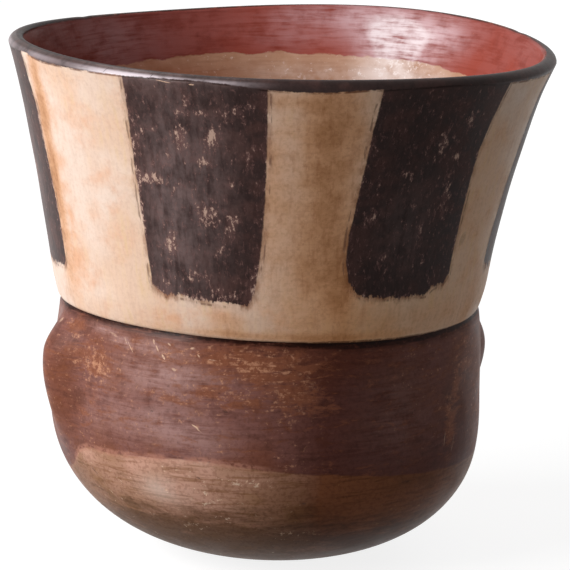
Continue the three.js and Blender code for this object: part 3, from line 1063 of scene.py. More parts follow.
class Board:
    """A material's nodes, with short calls for the kinds that the slips need.

    Each call makes its nodes after those that feed them, which keeps the renderer's stack small.
    """

    def __init__(self, name: str) -> None:
        """Starts an empty material.

        Args:
            name: The material's name.
        """
        self.material = bpy.data.materials.new(name)
        self.material.use_nodes = True
        self.tree = self.material.node_tree
        self.tree.nodes.clear()
        self.place = self.tree.nodes.new("ShaderNodeTexCoord").outputs["Object"]
        around_map = self.tree.nodes.new("ShaderNodeUVMap")
        around_map.uv_map = "Around"
        self.map = around_map.outputs["UV"]
        self.known: dict[str, Socket] = {}

    def feed(self, socket: Socket, value: Value | tuple) -> None:
        """Links a socket or sets its value.

        Args:
            socket: The input.
            value: An output to link, or a plain value.
        """
        if isinstance(value, bpy.types.NodeSocket):
            self.tree.links.new(value, socket)
        else:
            socket.default_value = value

    def attribute(self, name: str) -> Socket:
        """The value of one of the surface's own attributes, from one node for each name.

        Args:
            name: The attribute.

        Returns:
            Its value.
        """
        if name not in self.known:
            node = self.tree.nodes.new("ShaderNodeAttribute")
            node.attribute_name = name
            self.known[name] = node.outputs["Fac"]
        return self.known[name]

    def maths(self, operation: Operation, first: Value, second: Value = 0.0, third: Value = 0.0) -> Socket:
        """One arithmetic step.

        Args:
            operation: What is done.
            first: The first value.
            second: The second value, where the operation has one.
            third: The third value, where the operation has one.

        Returns:
            The result.
        """
        node = self.tree.nodes.new("ShaderNodeMath")
        node.operation = operation.value
        for socket, value in zip(node.inputs, (first, second, third)):
            self.feed(socket, value)
        return node.outputs[0]

    def add(self, first: Value, second: Value) -> Socket:
        """The sum of two values."""
        return self.maths(Operation.ADD, first, second)

    def times(self, first: Value, second: Value) -> Socket:
        """The product of two values."""
        return self.maths(Operation.TIMES, first, second)

    def weigh(self, first: Value, share: Value, second: Value) -> Socket:
        """The second value with a share of the first added: first * share + second."""
        return self.maths(Operation.WEIGH, first, share, second)

    def mean(self, first: Value, second: Value) -> Socket:
        """The mean of two values."""
        return self.weigh(first, 0.5, self.times(second, 0.5))

    def most(self, first: Value, second: Value) -> Socket:
        """The larger of two values."""
        return self.maths(Operation.MOST, first, second)

    def least(self, first: Value, second: Value) -> Socket:
        """The smaller of two values."""
        return self.maths(Operation.LEAST, first, second)

    def near(self, value: Value, place: float, wide: float, narrow: float) -> Socket:
        """1 where a value is within narrow of a place, easing to 0 where it is wide away from it."""
        return self.rise(self.maths(Operation.SIZE, self.add(value, -place)), wide, narrow)

    def rise(self, value: Value, low: float, high: float) -> Socket:
        """Eases from 0 at low to 1 at high, or falls from 1 to 0 where low is over high.

        Args:
            value: The value.
            low: Where the result is 0.
            high: Where the result is 1.

        Returns:
            The eased result.
        """
        if low > high:
            return self.maths(Operation.TAKE, 1.0, self.rise(value, high, low))
        node = self.tree.nodes.new("ShaderNodeMapRange")
        node.interpolation_type = "SMOOTHSTEP"
        node.inputs["From Min"].default_value = low
        node.inputs["From Max"].default_value = high
        self.feed(node.inputs["Value"], value)
        return node.outputs["Result"]

    def noise(self, pattern: Pattern) -> Socket:
        """Smooth noise on Object coordinates, drawn out along one direction.

        Args:
            pattern: Its sizes.

        Returns:
            Noise round a half.
        """
        mapping = self.tree.nodes.new("ShaderNodeMapping")
        mapping.inputs["Scale"].default_value = (pattern.across, pattern.across, pattern.up)
        shift = (pattern.shift, pattern.shift * 0.7, pattern.shift * 1.3)
        mapping.inputs["Location"].default_value = shift
        self.tree.links.new(self.place, mapping.inputs["Vector"])
        node = self.tree.nodes.new("ShaderNodeTexNoise")
        node.inputs["Scale"].default_value = 1.0
        node.inputs["Detail"].default_value = pattern.detail
        node.inputs["Roughness"].default_value = pattern.rough
        node.inputs["Distortion"].default_value = pattern.bend
        self.tree.links.new(mapping.outputs["Vector"], node.inputs["Vector"])
        return node.outputs["Fac"]

    def mix(self, share: Value, first: Paint, second: Paint, blend: Blend = Blend.COVER) -> Socket:
        """A mix of two colours.

        Args:
            share: How much of the second.
            first: The first colour.
            second: The second colour.
            blend: How the second is laid on the first.

        Returns:
            The mixed colour.
        """
        node = self.tree.nodes.new("ShaderNodeMix")
        node.data_type = "RGBA"
        node.blend_type = blend.value
        self.feed(node.inputs["Factor"], share)
        for socket, colour in ((node.inputs[6], first), (node.inputs[7], second)):
            self.feed(socket, colour.linear() if isinstance(colour, Colour) else colour)
        return node.outputs[2]

    def cover(self, tone: Tone | Wash, amount: Value, colour: Paint) -> Socket:
        """Lays a tone on a colour.

        Args:
            tone: The tone.
            amount: Where it shows, from 0 to 1.
            colour: The colour beneath.

        Returns:
            The colour with the tone on it.
        """
        if tone.share < 1.0:
            amount = self.times(amount, tone.share)
        return self.mix(amount, colour, tone.colour, tone.blend)

    def lay(self, wash: Wash, pattern: Value, colour: Paint, limit: Socket | None = None) -> Socket:
        """The colour with a wash on it that follows a pattern, held back where a limit is given."""
        amount = self.rise(pattern, wash.low, wash.high)
        return self.cover(wash, amount if limit is None else self.times(amount, limit), colour)

    def paint_sheen(self, painted_sheen_wash: Wash, pattern: Socket, colour: Socket) -> tuple[Socket, Socket]:
        """How strong the painted sheen is where a pattern is strong, and the colour with that painted sheen
        on it.
        """
        painted_sheen_amount = self.times(self.attribute("painted_sheen"), self.rise(pattern, painted_sheen_wash.low, painted_sheen_wash.high))
        return painted_sheen_amount, self.cover(painted_sheen_wash, painted_sheen_amount, colour)

    def lay_painted_shade(self, shade: Tone, colour: Socket) -> Socket:
        """Lays painted shade on a colour where the painted-shade spots lie."""
        return self.cover(shade, self.attribute("painted_shade"), colour)

    def spot(self, mark: Mark) -> Socket:
        """How strongly one scratch or pit shows: an ellipse on the map, thin along one direction.

        Args:
            mark: The scratch.

        Returns:
            Its strength on the mark and 0 off it.
        """
        mapping = self.tree.nodes.new("ShaderNodeMapping")
        mapping.vector_type = "TEXTURE"
        mapping.inputs["Location"].default_value = (mark.facing * MAP_SCALE, mark.height, 0.0)
        mapping.inputs["Rotation"].default_value = (0.0, 0.0, math.radians(mark.slant))
        mapping.inputs["Scale"].default_value = (mark.length / 2.0, mark.width / 2.0, 1.0)
        self.tree.links.new(self.map, mapping.inputs["Vector"])
        node = self.tree.nodes.new("ShaderNodeTexGradient")
        node.gradient_type = "SPHERICAL"
        self.tree.links.new(mapping.outputs["Vector"], node.inputs["Vector"])
        return self.times(self.rise(node.outputs["Fac"], 0.0, 0.4), mark.strength)


@dataclass(frozen=True)
class Grain:
    """The patterns that all the slips share, each round a half."""

    drift: Socket
    mottle: Socket
    upright: Socket
    sideways: Socket
    fine: Socket
    crumble: Socket


@dataclass(frozen=True)
class Layer:
    """What a slip gives the surface: its colour, and how strongly it was burnished."""

    colour: Socket
    burnish: Value


@dataclass(frozen=True)
class CreamSlip:
    """Cream slip on the neck: smooth and chalky, blushed orange in places, soiled brown in others."""

    clean: Colour = Colour(236, 203, 180)
    chalky: Wash = Wash(Colour(240, 216, 200), 0.4, 0.6)
    blush: Tone = Tone(Colour(232, 176, 140), 0.8)
    straw: Tone = Tone(Colour(232, 198, 156), 0.6)
    soil: Tone = Tone(Colour(226, 174, 136))
    shade: Tone = Tone(Colour(252, 236, 210), 1.0, Blend.STAIN)
    grime_and_crease_shade: Stain = Stain(Colour(206, 192, 172), 1.1, 2.0)
    pores: Stain = Stain(Colour(190, 162, 138), 0.54, 0.36)
    grit: Stain = Stain(Colour(186, 156, 132), 0.44, 0.3)
    strokes: Stain = Stain(Colour(196, 168, 142), 0.52, 0.34)
    wiping: Stain = Stain(Colour(190, 164, 138), 0.56, 0.36)
    speck: Tone = Tone(Colour(120, 90, 72), 0.55)
    burnish: float = 0.02

    def paint(self, board: Board, grain: Grain) -> Layer:
        """Builds the slip. Its fine marks show more where it is dirty.

        Args:
            board: The material's nodes.
            grain: The shared patterns.

        Returns:
            The slip's layer.
        """
        colour = board.lay(self.chalky, grain.drift, self.clean)
        warm = board.times(board.attribute("blushed"), board.rise(grain.mottle, 0.34, 0.6))
        warm = board.weigh(board.rise(grain.mottle, 0.5, 0.74), 0.4, warm)
        colour = board.cover(self.blush, board.least(warm, 1.0), colour)
        yellow = board.times(board.rise(grain.upright, 0.44, 0.72), board.rise(grain.drift, 0.6, 0.38))
        colour = board.cover(self.straw, yellow, colour)
        dirt = board.rise(board.weigh(grain.mottle, 0.5, board.attribute("soiled")), 0.2, 1.2)
        colour = board.lay_painted_shade(self.shade, board.cover(self.soil, dirt, colour))
        colour = board.lay(self.grime_and_crease_shade, board.weigh(grain.mottle, 1.2, board.attribute("soiled")), colour)
        hatch = board.weigh(dirt, 0.14, 0.1)
        colour = board.lay(self.pores, grain.fine, colour, hatch)
        colour = board.lay(self.grit, grain.crumble, colour, hatch)
        colour = board.lay(self.strokes, grain.upright, colour, board.weigh(dirt, 0.18, 0.1))
        colour = board.lay(self.wiping, grain.sideways, colour, board.weigh(dirt, 0.06, 0.03))
        dots = board.times(board.rise(grain.crumble, 0.69, 0.76), board.rise(grain.mottle, 0.46, 0.62))
        return Layer(board.cover(self.speck, dots, colour), self.burnish)


@dataclass(frozen=True)
class BlackSlip:
    """Black slip of the panels and the lip: brushed up and down, brown where thin, with a grey painted sheen
    and painted shade.
    """

    body: Colour = Colour(61, 45, 43)
    thin: Wash = Wash(Colour(80, 56, 52), 0.42, 0.62)
    painted_sheen_wash: Wash = Wash(Colour(128, 108, 106), 0.28, 0.62, 0.75)
    strokes: Stain = Stain(Colour(186, 176, 174), 0.54, 0.38, 0.3)
    pores: Stain = Stain(Colour(196, 186, 184), 0.54, 0.38, 0.3)
    shade: Tone = Tone(Colour(176, 160, 156), 0.9, Blend.STAIN)
    burnish: float = 0.05
    painted_sheen_burnish: float = 0.15

    def paint(self, board: Board, grain: Grain) -> Layer:
        """Builds the slip.

        Args:
            board: The material's nodes.
            grain: The shared patterns.

        Returns:
            The slip's layer.
        """
        colour = board.lay(self.thin, grain.mottle, self.body)
        cloudy = board.weigh(grain.upright, 0.4, board.times(grain.mottle, 0.6))
        # A grey sheen is painted into the colour here.
        painted_sheen_amount, colour = board.paint_sheen(self.painted_sheen_wash, cloudy, colour)
        colour = board.lay(self.strokes, grain.upright, colour)
        colour = board.lay(self.pores, grain.fine, colour)
        colour = board.lay_painted_shade(self.shade, colour)
        return Layer(colour, board.weigh(painted_sheen_amount, self.painted_sheen_burnish, self.burnish))


@dataclass(frozen=True)
class MaroonSlip:
    """Maroon slip on the belly and the lugs: wiped on sideways, rubbed to orange-brown specks in places."""

    body: Colour = Colour(128, 78, 62)
    streaks: Pattern = Pattern(130.0, 420.0, 54.0, 6.0, 0.74, 0.5)
    plum: Wash = Wash(Colour(134, 90, 82), 0.42, 0.58)
    brown: Wash = Wash(Colour(118, 68, 46), 0.48, 0.62, 0.7)
    deep: Wash = Wash(Colour(88, 52, 42), 0.5, 0.38, 0.5)
    wiping: Wash = Wash(Colour(88, 52, 42), 0.54, 0.32, 0.25)
    painted_sheen_wash: Wash = Wash(Colour(178, 140, 134), 0.3, 0.6, 0.68)
    shade: Tone = Tone(Colour(172, 150, 144), 0.95, Blend.STAIN)
    rub: Wash = Wash(Colour(140, 85, 61), 0.54, 0.72, 0.7)
    bare: Tone = Tone(Colour(206, 150, 118), 0.65)
    pits: Wash = Wash(Colour(62, 38, 32), 0.4, 0.28, 0.45)
    pores: Stain = Stain(Colour(190, 174, 172), 0.52, 0.38, 0.3)
    burnish: float = 0.02
    painted_sheen_burnish: float = 0.3

    def paint(self, board: Board, grain: Grain) -> Layer:
        """Builds the slip. Its bare flecks are fewer where shade is painted.

        Args:
            board: The material's nodes.
            grain: The shared patterns.

        Returns:
            The slip's layer.
        """
        streaks = board.noise(self.streaks)
        colour = board.lay(self.plum, grain.drift, self.body)
        patch = board.mean(grain.mottle, streaks)
        colour = board.lay(self.brown, patch, colour)
        colour = board.lay(self.deep, patch, colour)
        colour = board.lay(self.wiping, grain.sideways, colour)
        # A pale painted sheen on the belly.
        painted_sheen_amount, colour = board.paint_sheen(self.painted_sheen_wash, board.mean(grain.sideways, grain.mottle), colour)
        colour = board.lay_painted_shade(self.shade, colour)
        colour = board.lay(self.rub, board.weigh(board.attribute("rubbed"), 0.2, streaks), colour)
        fleck = board.weigh(board.attribute("rubbed"), 0.11, grain.crumble)
        fleck = board.times(board.rise(fleck, 0.585, 0.71), board.rise(grain.sideways, 0.4, 0.54))
        fleck = board.times(fleck, board.rise(board.attribute("painted_shade"), 1.3, 0.3))
        colour = board.cover(self.bare, fleck, colour)
        colour = board.lay(self.pits, grain.crumble, colour)
        colour = board.lay(self.pores, grain.fine, colour)
        return Layer(colour, board.weigh(painted_sheen_amount, self.painted_sheen_burnish, self.burnish))


@dataclass(frozen=True)
class TanSlip:
    """Tan slip under the belly: pinkish by its painted edge, dark in sweeps that grow towards the foot, with
    a painted highlight and painted shade.
    """

    body: Colour = Colour(168, 124, 98)
    sweep: Pattern = Pattern(60.0, 260.0, 63.0, 6.0, 0.74, 0.6)
    olive: Wash = Wash(Colour(152, 110, 72), 0.44, 0.62, 0.6)
    pink: Tone = Tone(Colour(208, 160, 140), 0.85)
    wiping: Stain = Stain(Colour(196, 172, 154), 0.54, 0.34, 0.25)
    dark_sweeps: Wash = Wash(Colour(100, 66, 40), 0.66, 0.96, 0.8)
    dark_sweeps_top: float = -7.0
    dark_sweeps_foot: float = -24.0
    pores: Stain = Stain(Colour(176, 150, 132), 0.54, 0.36, 0.4)
    painted_sheen_wash: Wash = Wash(Colour(232, 206, 192), 0.2, 0.6, 0.6)
    bare: Tone = Tone(Colour(238, 210, 184), 0.7)
    shade: Tone = Tone(Colour(154, 122, 92), 0.95, Blend.STAIN)
    burnish: float = 0.05

    def paint(self, board: Board, grain: Grain) -> Layer:
        """Builds the slip. The dark sweeps thicken from some way under the painted edge down to the foot.

        Args:
            board: The material's nodes.
            grain: The shared patterns.

        Returns:
            The slip's layer.
        """
        sweep = board.noise(self.sweep)
        colour = board.lay(self.olive, grain.mottle, self.body)
        warm = board.weigh(board.attribute("blushed"), 0.8, board.rise(grain.drift, 0.44, 0.62))
        warm = board.times(board.least(warm, 1.0), board.rise(grain.sideways, 0.3, 0.52))
        colour = board.cover(self.pink, warm, colour)
        colour = board.lay(self.wiping, grain.sideways, colour)
        # Darker towards the foot, in sweeps.
        low = board.rise(board.attribute("maroon"), self.dark_sweeps_top, self.dark_sweeps_foot)
        dark_sweeps = board.weigh(grain.mottle, 0.24, board.weigh(low, 0.34, sweep))
        colour = board.lay(self.dark_sweeps, dark_sweeps, colour)
        colour = board.lay(self.pores, grain.fine, colour)
        # A pale painted highlight on the bowl.
        colour = board.paint_sheen(self.painted_sheen_wash, grain.mottle, colour)[1]
        fleck = board.times(board.rise(grain.crumble, 0.63, 0.71), board.rise(grain.mottle, 0.46, 0.58))
        chips = board.weigh(board.attribute("rubbed"), 0.12, grain.crumble)
        fleck = board.most(fleck, board.rise(chips, 0.65, 0.71))
        colour = board.lay_painted_shade(self.shade, board.cover(self.bare, fleck, colour))
        return Layer(colour, self.burnish)


@dataclass(frozen=True)
class RedSlip:
    """Brick-red slip inside the mouth, wiped on sideways and burnished, with a painted sheen, a painted
    glint and painted shade.
    """

    body: Colour = Colour(156, 66, 50)
    rose: Wash = Wash(Colour(160, 84, 76), 0.42, 0.6)
    wiping: Wash = Wash(Colour(116, 46, 34), 0.54, 0.34, 0.25)
    deep: Wash = Wash(Colour(116, 46, 34), 0.52, 0.36, 0.3)
    fleck: Wash = Wash(Colour(222, 140, 100), 0.68, 0.75, 0.6)
    painted_sheen_wash: Wash = Wash(Colour(222, 190, 196), 0.26, 0.64, 0.85)
    painted_glint: Tone = Tone(Colour(250, 240, 242), 0.65)
    shade: Tone = Tone(Colour(176, 180, 184), 1.0, Blend.STAIN)
    burnish: float = 0.22

    def paint(self, board: Board, grain: Grain) -> Layer:
        """Builds the slip. A painted glint lies at the core of its painted sheen, and its burnish comes and
        goes in clouds.

        Args:
            board: The material's nodes.
            grain: The shared patterns.

        Returns:
            The slip's layer.
        """
        colour = board.lay(self.rose, grain.drift, self.body)
        colour = board.lay(self.wiping, grain.sideways, colour)
        colour = board.lay(self.deep, grain.mottle, colour)
        colour = board.lay(self.fleck, grain.crumble, colour)
        cloudy = board.mean(grain.sideways, grain.mottle)
        # A pale painted sheen on the far wall, and a painted glint at its core.
        colour = board.paint_sheen(self.painted_sheen_wash, cloudy, colour)[1]
        core = board.times(board.rise(board.attribute("painted_sheen"), 0.85, 1.2), board.rise(cloudy, 0.34, 0.6))
        colour = board.lay_painted_shade(self.shade, board.cover(self.painted_glint, core, colour))
        return Layer(colour, board.times(board.rise(cloudy, 0.38, 0.58), self.burnish))


@dataclass(frozen=True)
class BareInside:
    """The unslipped inside under the red: scraped tan clay with pale scratches."""

    body: Colour = Colour(192, 145, 115)
    pale: Wash = Wash(Colour(216, 176, 150), 0.26, 0.72, 0.8)
    umber: Wash = Wash(Colour(162, 110, 78), 0.56, 0.36, 0.4)
    scraping: Wash = Wash(Colour(162, 110, 78), 0.54, 0.36, 0.3)
    chalk_and_painted_sheen: Tone = Tone(Colour(250, 236, 232))
    shade: Tone = Tone(Colour(208, 134, 88), 1.0, Blend.STAIN)
    burnish: float = 0.15

    def paint(self, board: Board, grain: Grain) -> Layer:
        """Builds the clay. Chalk lies in crumbs, more of them where a sheen is painted, and a pale painted
        highlight goes with it there.

        Args:
            board: The material's nodes.
            grain: The shared patterns.

        Returns:
            The clay's layer.
        """
        colour = board.lay(self.pale, grain.mottle, self.body)
        colour = board.lay(self.umber, grain.drift, colour)
        colour = board.lay(self.scraping, grain.sideways, colour)
        painted_sheen = board.attribute("painted_sheen")
        # A pale painted highlight goes with the chalk where a sheen is painted.
        painted_sheen_amount = board.times(painted_sheen, board.rise(grain.mottle, 0.2, 0.6))
        crumbs = board.rise(board.weigh(painted_sheen, 0.06, grain.crumble), 0.6, 0.7)
        chalky = board.weigh(crumbs, 0.5, board.times(painted_sheen_amount, 0.6))
        colour = board.cover(self.chalk_and_painted_sheen, board.least(chalky, 0.9), colour)
        return Layer(board.lay_painted_shade(self.shade, colour), self.burnish)


@dataclass(frozen=True)
class Gloss:
    """The burnish over all the slips, the same all over the cup."""

    specular: float = 0.04
    rough: float = 0.44
    rough_spread: float = 0.3
    coat_rough: float = 0.2
    relief_depth: float = 0.00012


@dataclass(frozen=True)
class PaintedClay:
    """The cup's whole surface: every slip in its place, with worn edges, and the marks of use on top."""

    drift: Pattern = Pattern(26.0, 26.0, 3.0, 3.0, 0.55)
    mottle: Pattern = Pattern(130.0, 150.0, 14.0, 5.0, 0.6)
    upright: Pattern = Pattern(560.0, 32.0, 9.0, 3.0, 0.62)
    sideways: Pattern = Pattern(90.0, 1000.0, 17.0, 3.0, 0.6, 0.3)
    fine: Pattern = Pattern(900.0, 900.0, 5.0, 2.0, 0.6)
    crumble: Pattern = Pattern(520.0, 620.0, 77.0, 4.0, 0.76)
    bristles: Pattern = Pattern(480.0, 130.0, 71.0, 5.0, 0.72)
    flakes: Pattern = Pattern(820.0, 400.0, 81.0, 4.0, 0.78)
    gloss: Gloss = Gloss()
    lip_burnish: float = 0.14
    lip_painted_sheen_burnish: float = 0.5
    lip_shoulder: float = -2.3
    lip_painted_highlight: Tone = Tone(Colour(228, 214, 220), 0.95)
    lip_wear: Wash = Wash(Colour(164, 96, 76), 0.64, 0.74, 0.75)
    lip_edge_shadow: Tone = Tone(Colour(120, 90, 74), 0.8, Blend.STAIN)
    scratch: Tone = Tone(Colour(230, 190, 162), 0.95)
    crack: Tone = Tone(Colour(58, 42, 38), 0.7)
    tan_line: Tone = Tone(Colour(190, 134, 114), 0.6)
    ledge_shadow: Tone = Tone(Colour(120, 96, 90), 0.9, Blend.STAIN)
    crease_painted_shade: Tone = Tone(Colour(104, 80, 70), 0.8, Blend.STAIN)
    smear: Tone = Tone(Colour(150, 118, 100), 1.0, Blend.STAIN)
    stray: Tone = Tone(Colour(104, 72, 60), 0.6)
    halo: Tone = Tone(Colour(120, 86, 82), 0.7)
    tan_edge: float = 1.6
    red_edge: float = 3.4
    lip_edge: float = 1.0
    panel_edge: float = 1.5
    tuft_edge: float = 6.0
    paint_relief: float = 0.2
    cut_relief: float = -0.5
    flaked: Wash = Wash(Colour(206, 172, 154), 0.65, 0.74, 0.85)
    scratches: tuple[Mark, ...] = marks(
        (-38.8, 68.6, 4.4, 0.34, -52.0, 0.7), (-40.6, 70.2, 2.4, 0.4, -62.0, 0.6),
        (-31.4, 71.4, 1.8, 0.7, -70.0, 0.8), (-30.2, 69.6, 2.6, 0.5, -58.0, 0.8),
        (-28.2, 67.6, 2.0, 0.7, -50.0, 1.0), (-26.8, 71.4, 1.4, 0.5, -30.0, 0.7),
        (-17.8, 49.5, 2.6, 0.5, -26.0, 1.0), (-16.8, 48.6, 2.4, 0.4, -34.0, 0.9),
        (-45.0, 71.0, 4.0, 0.9, -16.0, 0.3), (-20.0, 71.2, 1.8, 0.7, 10.0, 0.7),
        (-18.2, 69.2, 1.6, 0.5, -50.0, 0.7), (-24.8, 64.6, 1.6, 0.9, -20.0, 0.6),
        (-14.4, 68.6, 3.0, 0.4, -4.0, 0.5), (54.4, 43.0, 5.0, 0.4, 82.0, 0.4),
        (58.6, 41.0, 6.0, 0.4, 74.0, 0.35), (128.0, 58.0, 5.0, 0.4, 40.0, 0.8),
        (-170.0, 60.0, 4.0, 0.5, -30.0, 0.8), (-132.0, 64.0, 6.0, 0.4, 12.0, 0.7),
        (170.0, 40.0, 4.0, 0.5, -60.0, 0.7), (-27.2, 29.8, 1.0, 0.8, 0.0, 1.0),
        (-26.6, 35.4, 0.9, 0.6, 0.0, 0.9), (-23.0, 36.3, 1.2, 0.7, 10.0, 0.8),
        (-11.0, 34.9, 0.8, 0.5, 70.0, 0.9), (-7.2, 35.3, 0.9, 0.6, 60.0, 0.9),
        (-4.6, 35.0, 1.3, 0.5, 55.0, 0.9), (-1.8, 34.4, 1.7, 0.5, 50.0, 0.8),
        (-15.8, 29.8, 1.8, 0.6, 60.0, 0.8), (-12.4, 28.8, 2.2, 0.8, 10.0, 0.6),
        (-24.0, 19.0, 3.4, 0.9, -4.0, 0.6), (-68.6, 70.4, 2.4, 1.6, 30.0, 0.5),
        (-82.5, 57.2, 2.2, 2.6, 0.0, 0.5), (-71.0, 63.0, 14.0, 0.5, -72.0, 0.45),
        (-24.0, 148.1, 4.2, 0.3, -8.0, 0.9), (-18.0, 147.9, 1.4, 0.5, 0.0, 0.9))
    cracks: tuple[Mark, ...] = marks(
        (-37.6, 149.4, 2.6, 0.22, 60.0, 1.0), (-26.8, 149.2, 2.6, 0.22, 66.0, 1.0),
        (-53.4, 30.2, 5.0, 0.8, -34.0, 0.6), (-50.6, 27.2, 3.0, 0.7, -60.0, 0.4),
        (-17.2, 34.8, 1.4, 0.7, -20.0, 0.9), (-30.0, 52.0, 1.4, 0.8, 20.0, 0.7),
        (-10.2, 54.7, 2.0, 0.9, -16.0, 0.8), (10.0, 28.6, 1.6, 0.8, 0.0, 0.7),
        (140.0, 50.0, 2.0, 1.2, 0.0, 0.8), (49.0, 129.0, 2.6, 1.6, 0.0, 0.3),
        (53.0, 102.0, 5.0, 3.0, 70.0, 0.35))

    def over(self, board: Board, share: Socket, below: Layer, above: Layer) -> Layer:
        """Lays one layer over another.

        Args:
            board: The material's nodes.
            share: Where the top one covers, from 0 to 1.
            below: The layer beneath.
            above: The layer on top.

        Returns:
            The two together.
        """
        colour = board.mix(share, below.colour, above.colour)
        more = board.maths(Operation.TAKE, above.burnish, below.burnish)
        return Layer(colour, board.weigh(share, more, below.burnish))

    def ragged(self, board: Board, distance: Socket, wobble: Socket, reach: Value, soft: float) -> Socket:
        """A painted edge, 1 inside and 0 outside: the drawn line, pushed in and out by a wobble."""
        moved = board.weigh(board.add(wobble, -0.5), reach, distance)
        return board.rise(moved, -soft / 2.0, soft / 2.0)

    def shown(self, board: Board, rows: tuple[Mark, ...], frayed: Socket) -> Socket:
        """The strongest of several marks at each point, broken up by noise.

        Args:
            board: The material's nodes.
            rows: The marks.
            frayed: Noise round a half.

        Returns:
            How strongly a mark shows.
        """
        strongest = board.spot(rows[0])
        for row in rows[1:]:
            strongest = board.most(strongest, board.spot(row))
        return board.times(strongest, board.rise(frayed, 0.36, 0.54))

    def material(self, name: str) -> bpy.types.Material:
        """Builds the whole node tree: the outside, the inside, the lip over both, the marks and the relief.

        Args:
            name: The material's name.

        Returns:
            The material.
        """
        board = Board(name)
        patterns = (self.drift, self.mottle, self.upright, self.sideways, self.fine, self.crumble)
        grain = Grain(*[board.noise(pattern) for pattern in patterns])
        outside = self.grounds(board, grain)
        black = BlackSlip().paint(board, grain)
        outside, panel_share = self.panels(board, grain, outside, black)
        red = self.ragged(board, board.attribute("red"), grain.mottle, self.red_edge, 0.6)
        inside = self.over(board, red, BareInside().paint(board, grain), RedSlip().paint(board, grain))
        whole = self.over(board, board.rise(board.attribute("past"), 0.4, 0.8), outside, inside)
        whole, lip_share = self.lip(board, grain, whole, black)
        pale = self.shown(board, self.scratches, grain.crumble)
        colour = board.cover(self.scratch, pale, whole.colour)
        dark = self.shown(board, self.cracks, grain.crumble)
        colour = board.cover(self.crack, dark, colour)
        cut = board.add(pale, dark)
        paint = board.times(board.most(lip_share, panel_share), self.paint_relief)
        relief = board.weigh(cut, self.cut_relief, paint)
        self.shade(board, grain, Layer(colour, whole.burnish), relief)
        return board.material

    def grounds(self, board: Board, grain: Grain) -> Layer:
        """The three ground slips of the outside, from the bowl up.

        A paler line runs where the maroon meets the tan. The ledge's shadow and a shade in the crease are
        painted where the cream meets the maroon, wider where shade is painted.

        Args:
            board: The material's nodes.
            grain: The shared patterns.

        Returns:
            The three laid over each other.
        """
        above = board.attribute("maroon")
        edge = self.ragged(board, above, grain.mottle, self.tan_edge, 0.7)
        low = self.over(board, edge, TanSlip().paint(board, grain), MaroonSlip().paint(board, grain))
        line = board.times(board.near(above, 0.1, 1.5, 0.5), board.rise(grain.mottle, 0.36, 0.56))
        line = board.times(line, board.rise(board.attribute("painted_shade"), 0.5, 0.0))
        line = board.times(line, board.rise(grain.crumble, 0.34, 0.54))
        colour = board.cover(self.tan_line, line, low.colour)
        rise = board.attribute("rise")
        under = board.rise(board.weigh(grain.mottle, 3.6, rise), -1.8, 1.4)
        shadow = board.times(under, board.rise(grain.sideways, 0.36, 0.54))
        low = Layer(board.cover(self.ledge_shadow, shadow, colour), low.burnish)
        wavy = board.weigh(board.add(grain.mottle, -0.5), 0.8, rise)
        both = self.over(board, board.rise(wavy, -0.1, 0.1), low, CreamSlip().paint(board, grain))
        # Painted shade in the crease, reaching further where shade is painted.
        reach = board.weigh(board.attribute("painted_shade"), 0.8, 0.8)
        grime_and_crease_shade = board.maths(Operation.TAKE, reach, board.maths(Operation.SIZE, board.add(wavy, 0.5)))
        grime_and_crease_shade = board.times(board.rise(grime_and_crease_shade, 0.0, 0.6), board.rise(grain.crumble, 0.34, 0.5))
        return Layer(board.cover(self.crease_painted_shade, grime_and_crease_shade, both.colour), both.burnish)

    def panels(self, board: Board, grain: Grain, ground: Layer, black: Layer) -> tuple[Layer, Socket]:
        """The black panels: smeared and with stray strokes along their edges, and flaked where they wore.

        Args:
            board: The material's nodes.
            grain: The shared patterns.
            ground: The layer they are painted on.
            black: The black slip.

        Returns:
            The ground with the panels on it, and where they cover it.
        """
        depth = board.attribute("panel")
        bristles = board.noise(self.bristles)
        wobble = board.weigh(bristles, 0.7, board.times(grain.crumble, 0.3))
        reach = board.weigh(board.attribute("tufted"), self.tuft_edge, self.panel_edge)
        share = self.ragged(board, depth, wobble, reach, 0.45)
        spread = board.weigh(board.add(bristles, -0.5), 6.0, depth)
        smeared = board.times(board.rise(spread, -2.4, 0.3), board.rise(grain.mottle, 0.34, 0.56))
        smeared = board.times(smeared, board.weigh(board.attribute("tufted"), 0.4, 0.5))
        stained = board.cover(self.smear, smeared, ground.colour)
        strays = board.times(board.near(depth, -0.9, 0.5, 0.15), board.rise(grain.upright, 0.5, 0.6))
        stained = board.cover(self.stray, strays, stained)
        worn = board.weigh(board.attribute("flecked"), 0.2, board.noise(self.flakes))
        worn = board.weigh(board.rise(depth, 1.4, 0.0), 0.06, worn)
        thinned = board.weigh(grain.mottle, 0.8, board.attribute("flecked"))
        thinned = board.most(board.rise(worn, 0.53, 0.7), board.rise(thinned, 0.7, 1.5))
        colour = board.lay(self.flaked, worn, board.cover(self.halo, thinned, black.colour))
        return self.over(board, share, Layer(stained, ground.burnish), Layer(colour, black.burnish)), share

    def lip(self, board: Board, grain: Grain, whole: Layer, black: Layer) -> tuple[Layer, Socket]:
        """The black line over the lip, with a broken painted shadow line along its edges, a painted
        highlight on its shoulder and red wear.

        Args:
            board: The material's nodes.
            grain: The shared patterns.
            whole: The surface that it is painted on.
            black: The black slip.

        Returns:
            The surface with the line on it, and where the line covers it.
        """
        lip = board.attribute("lip")
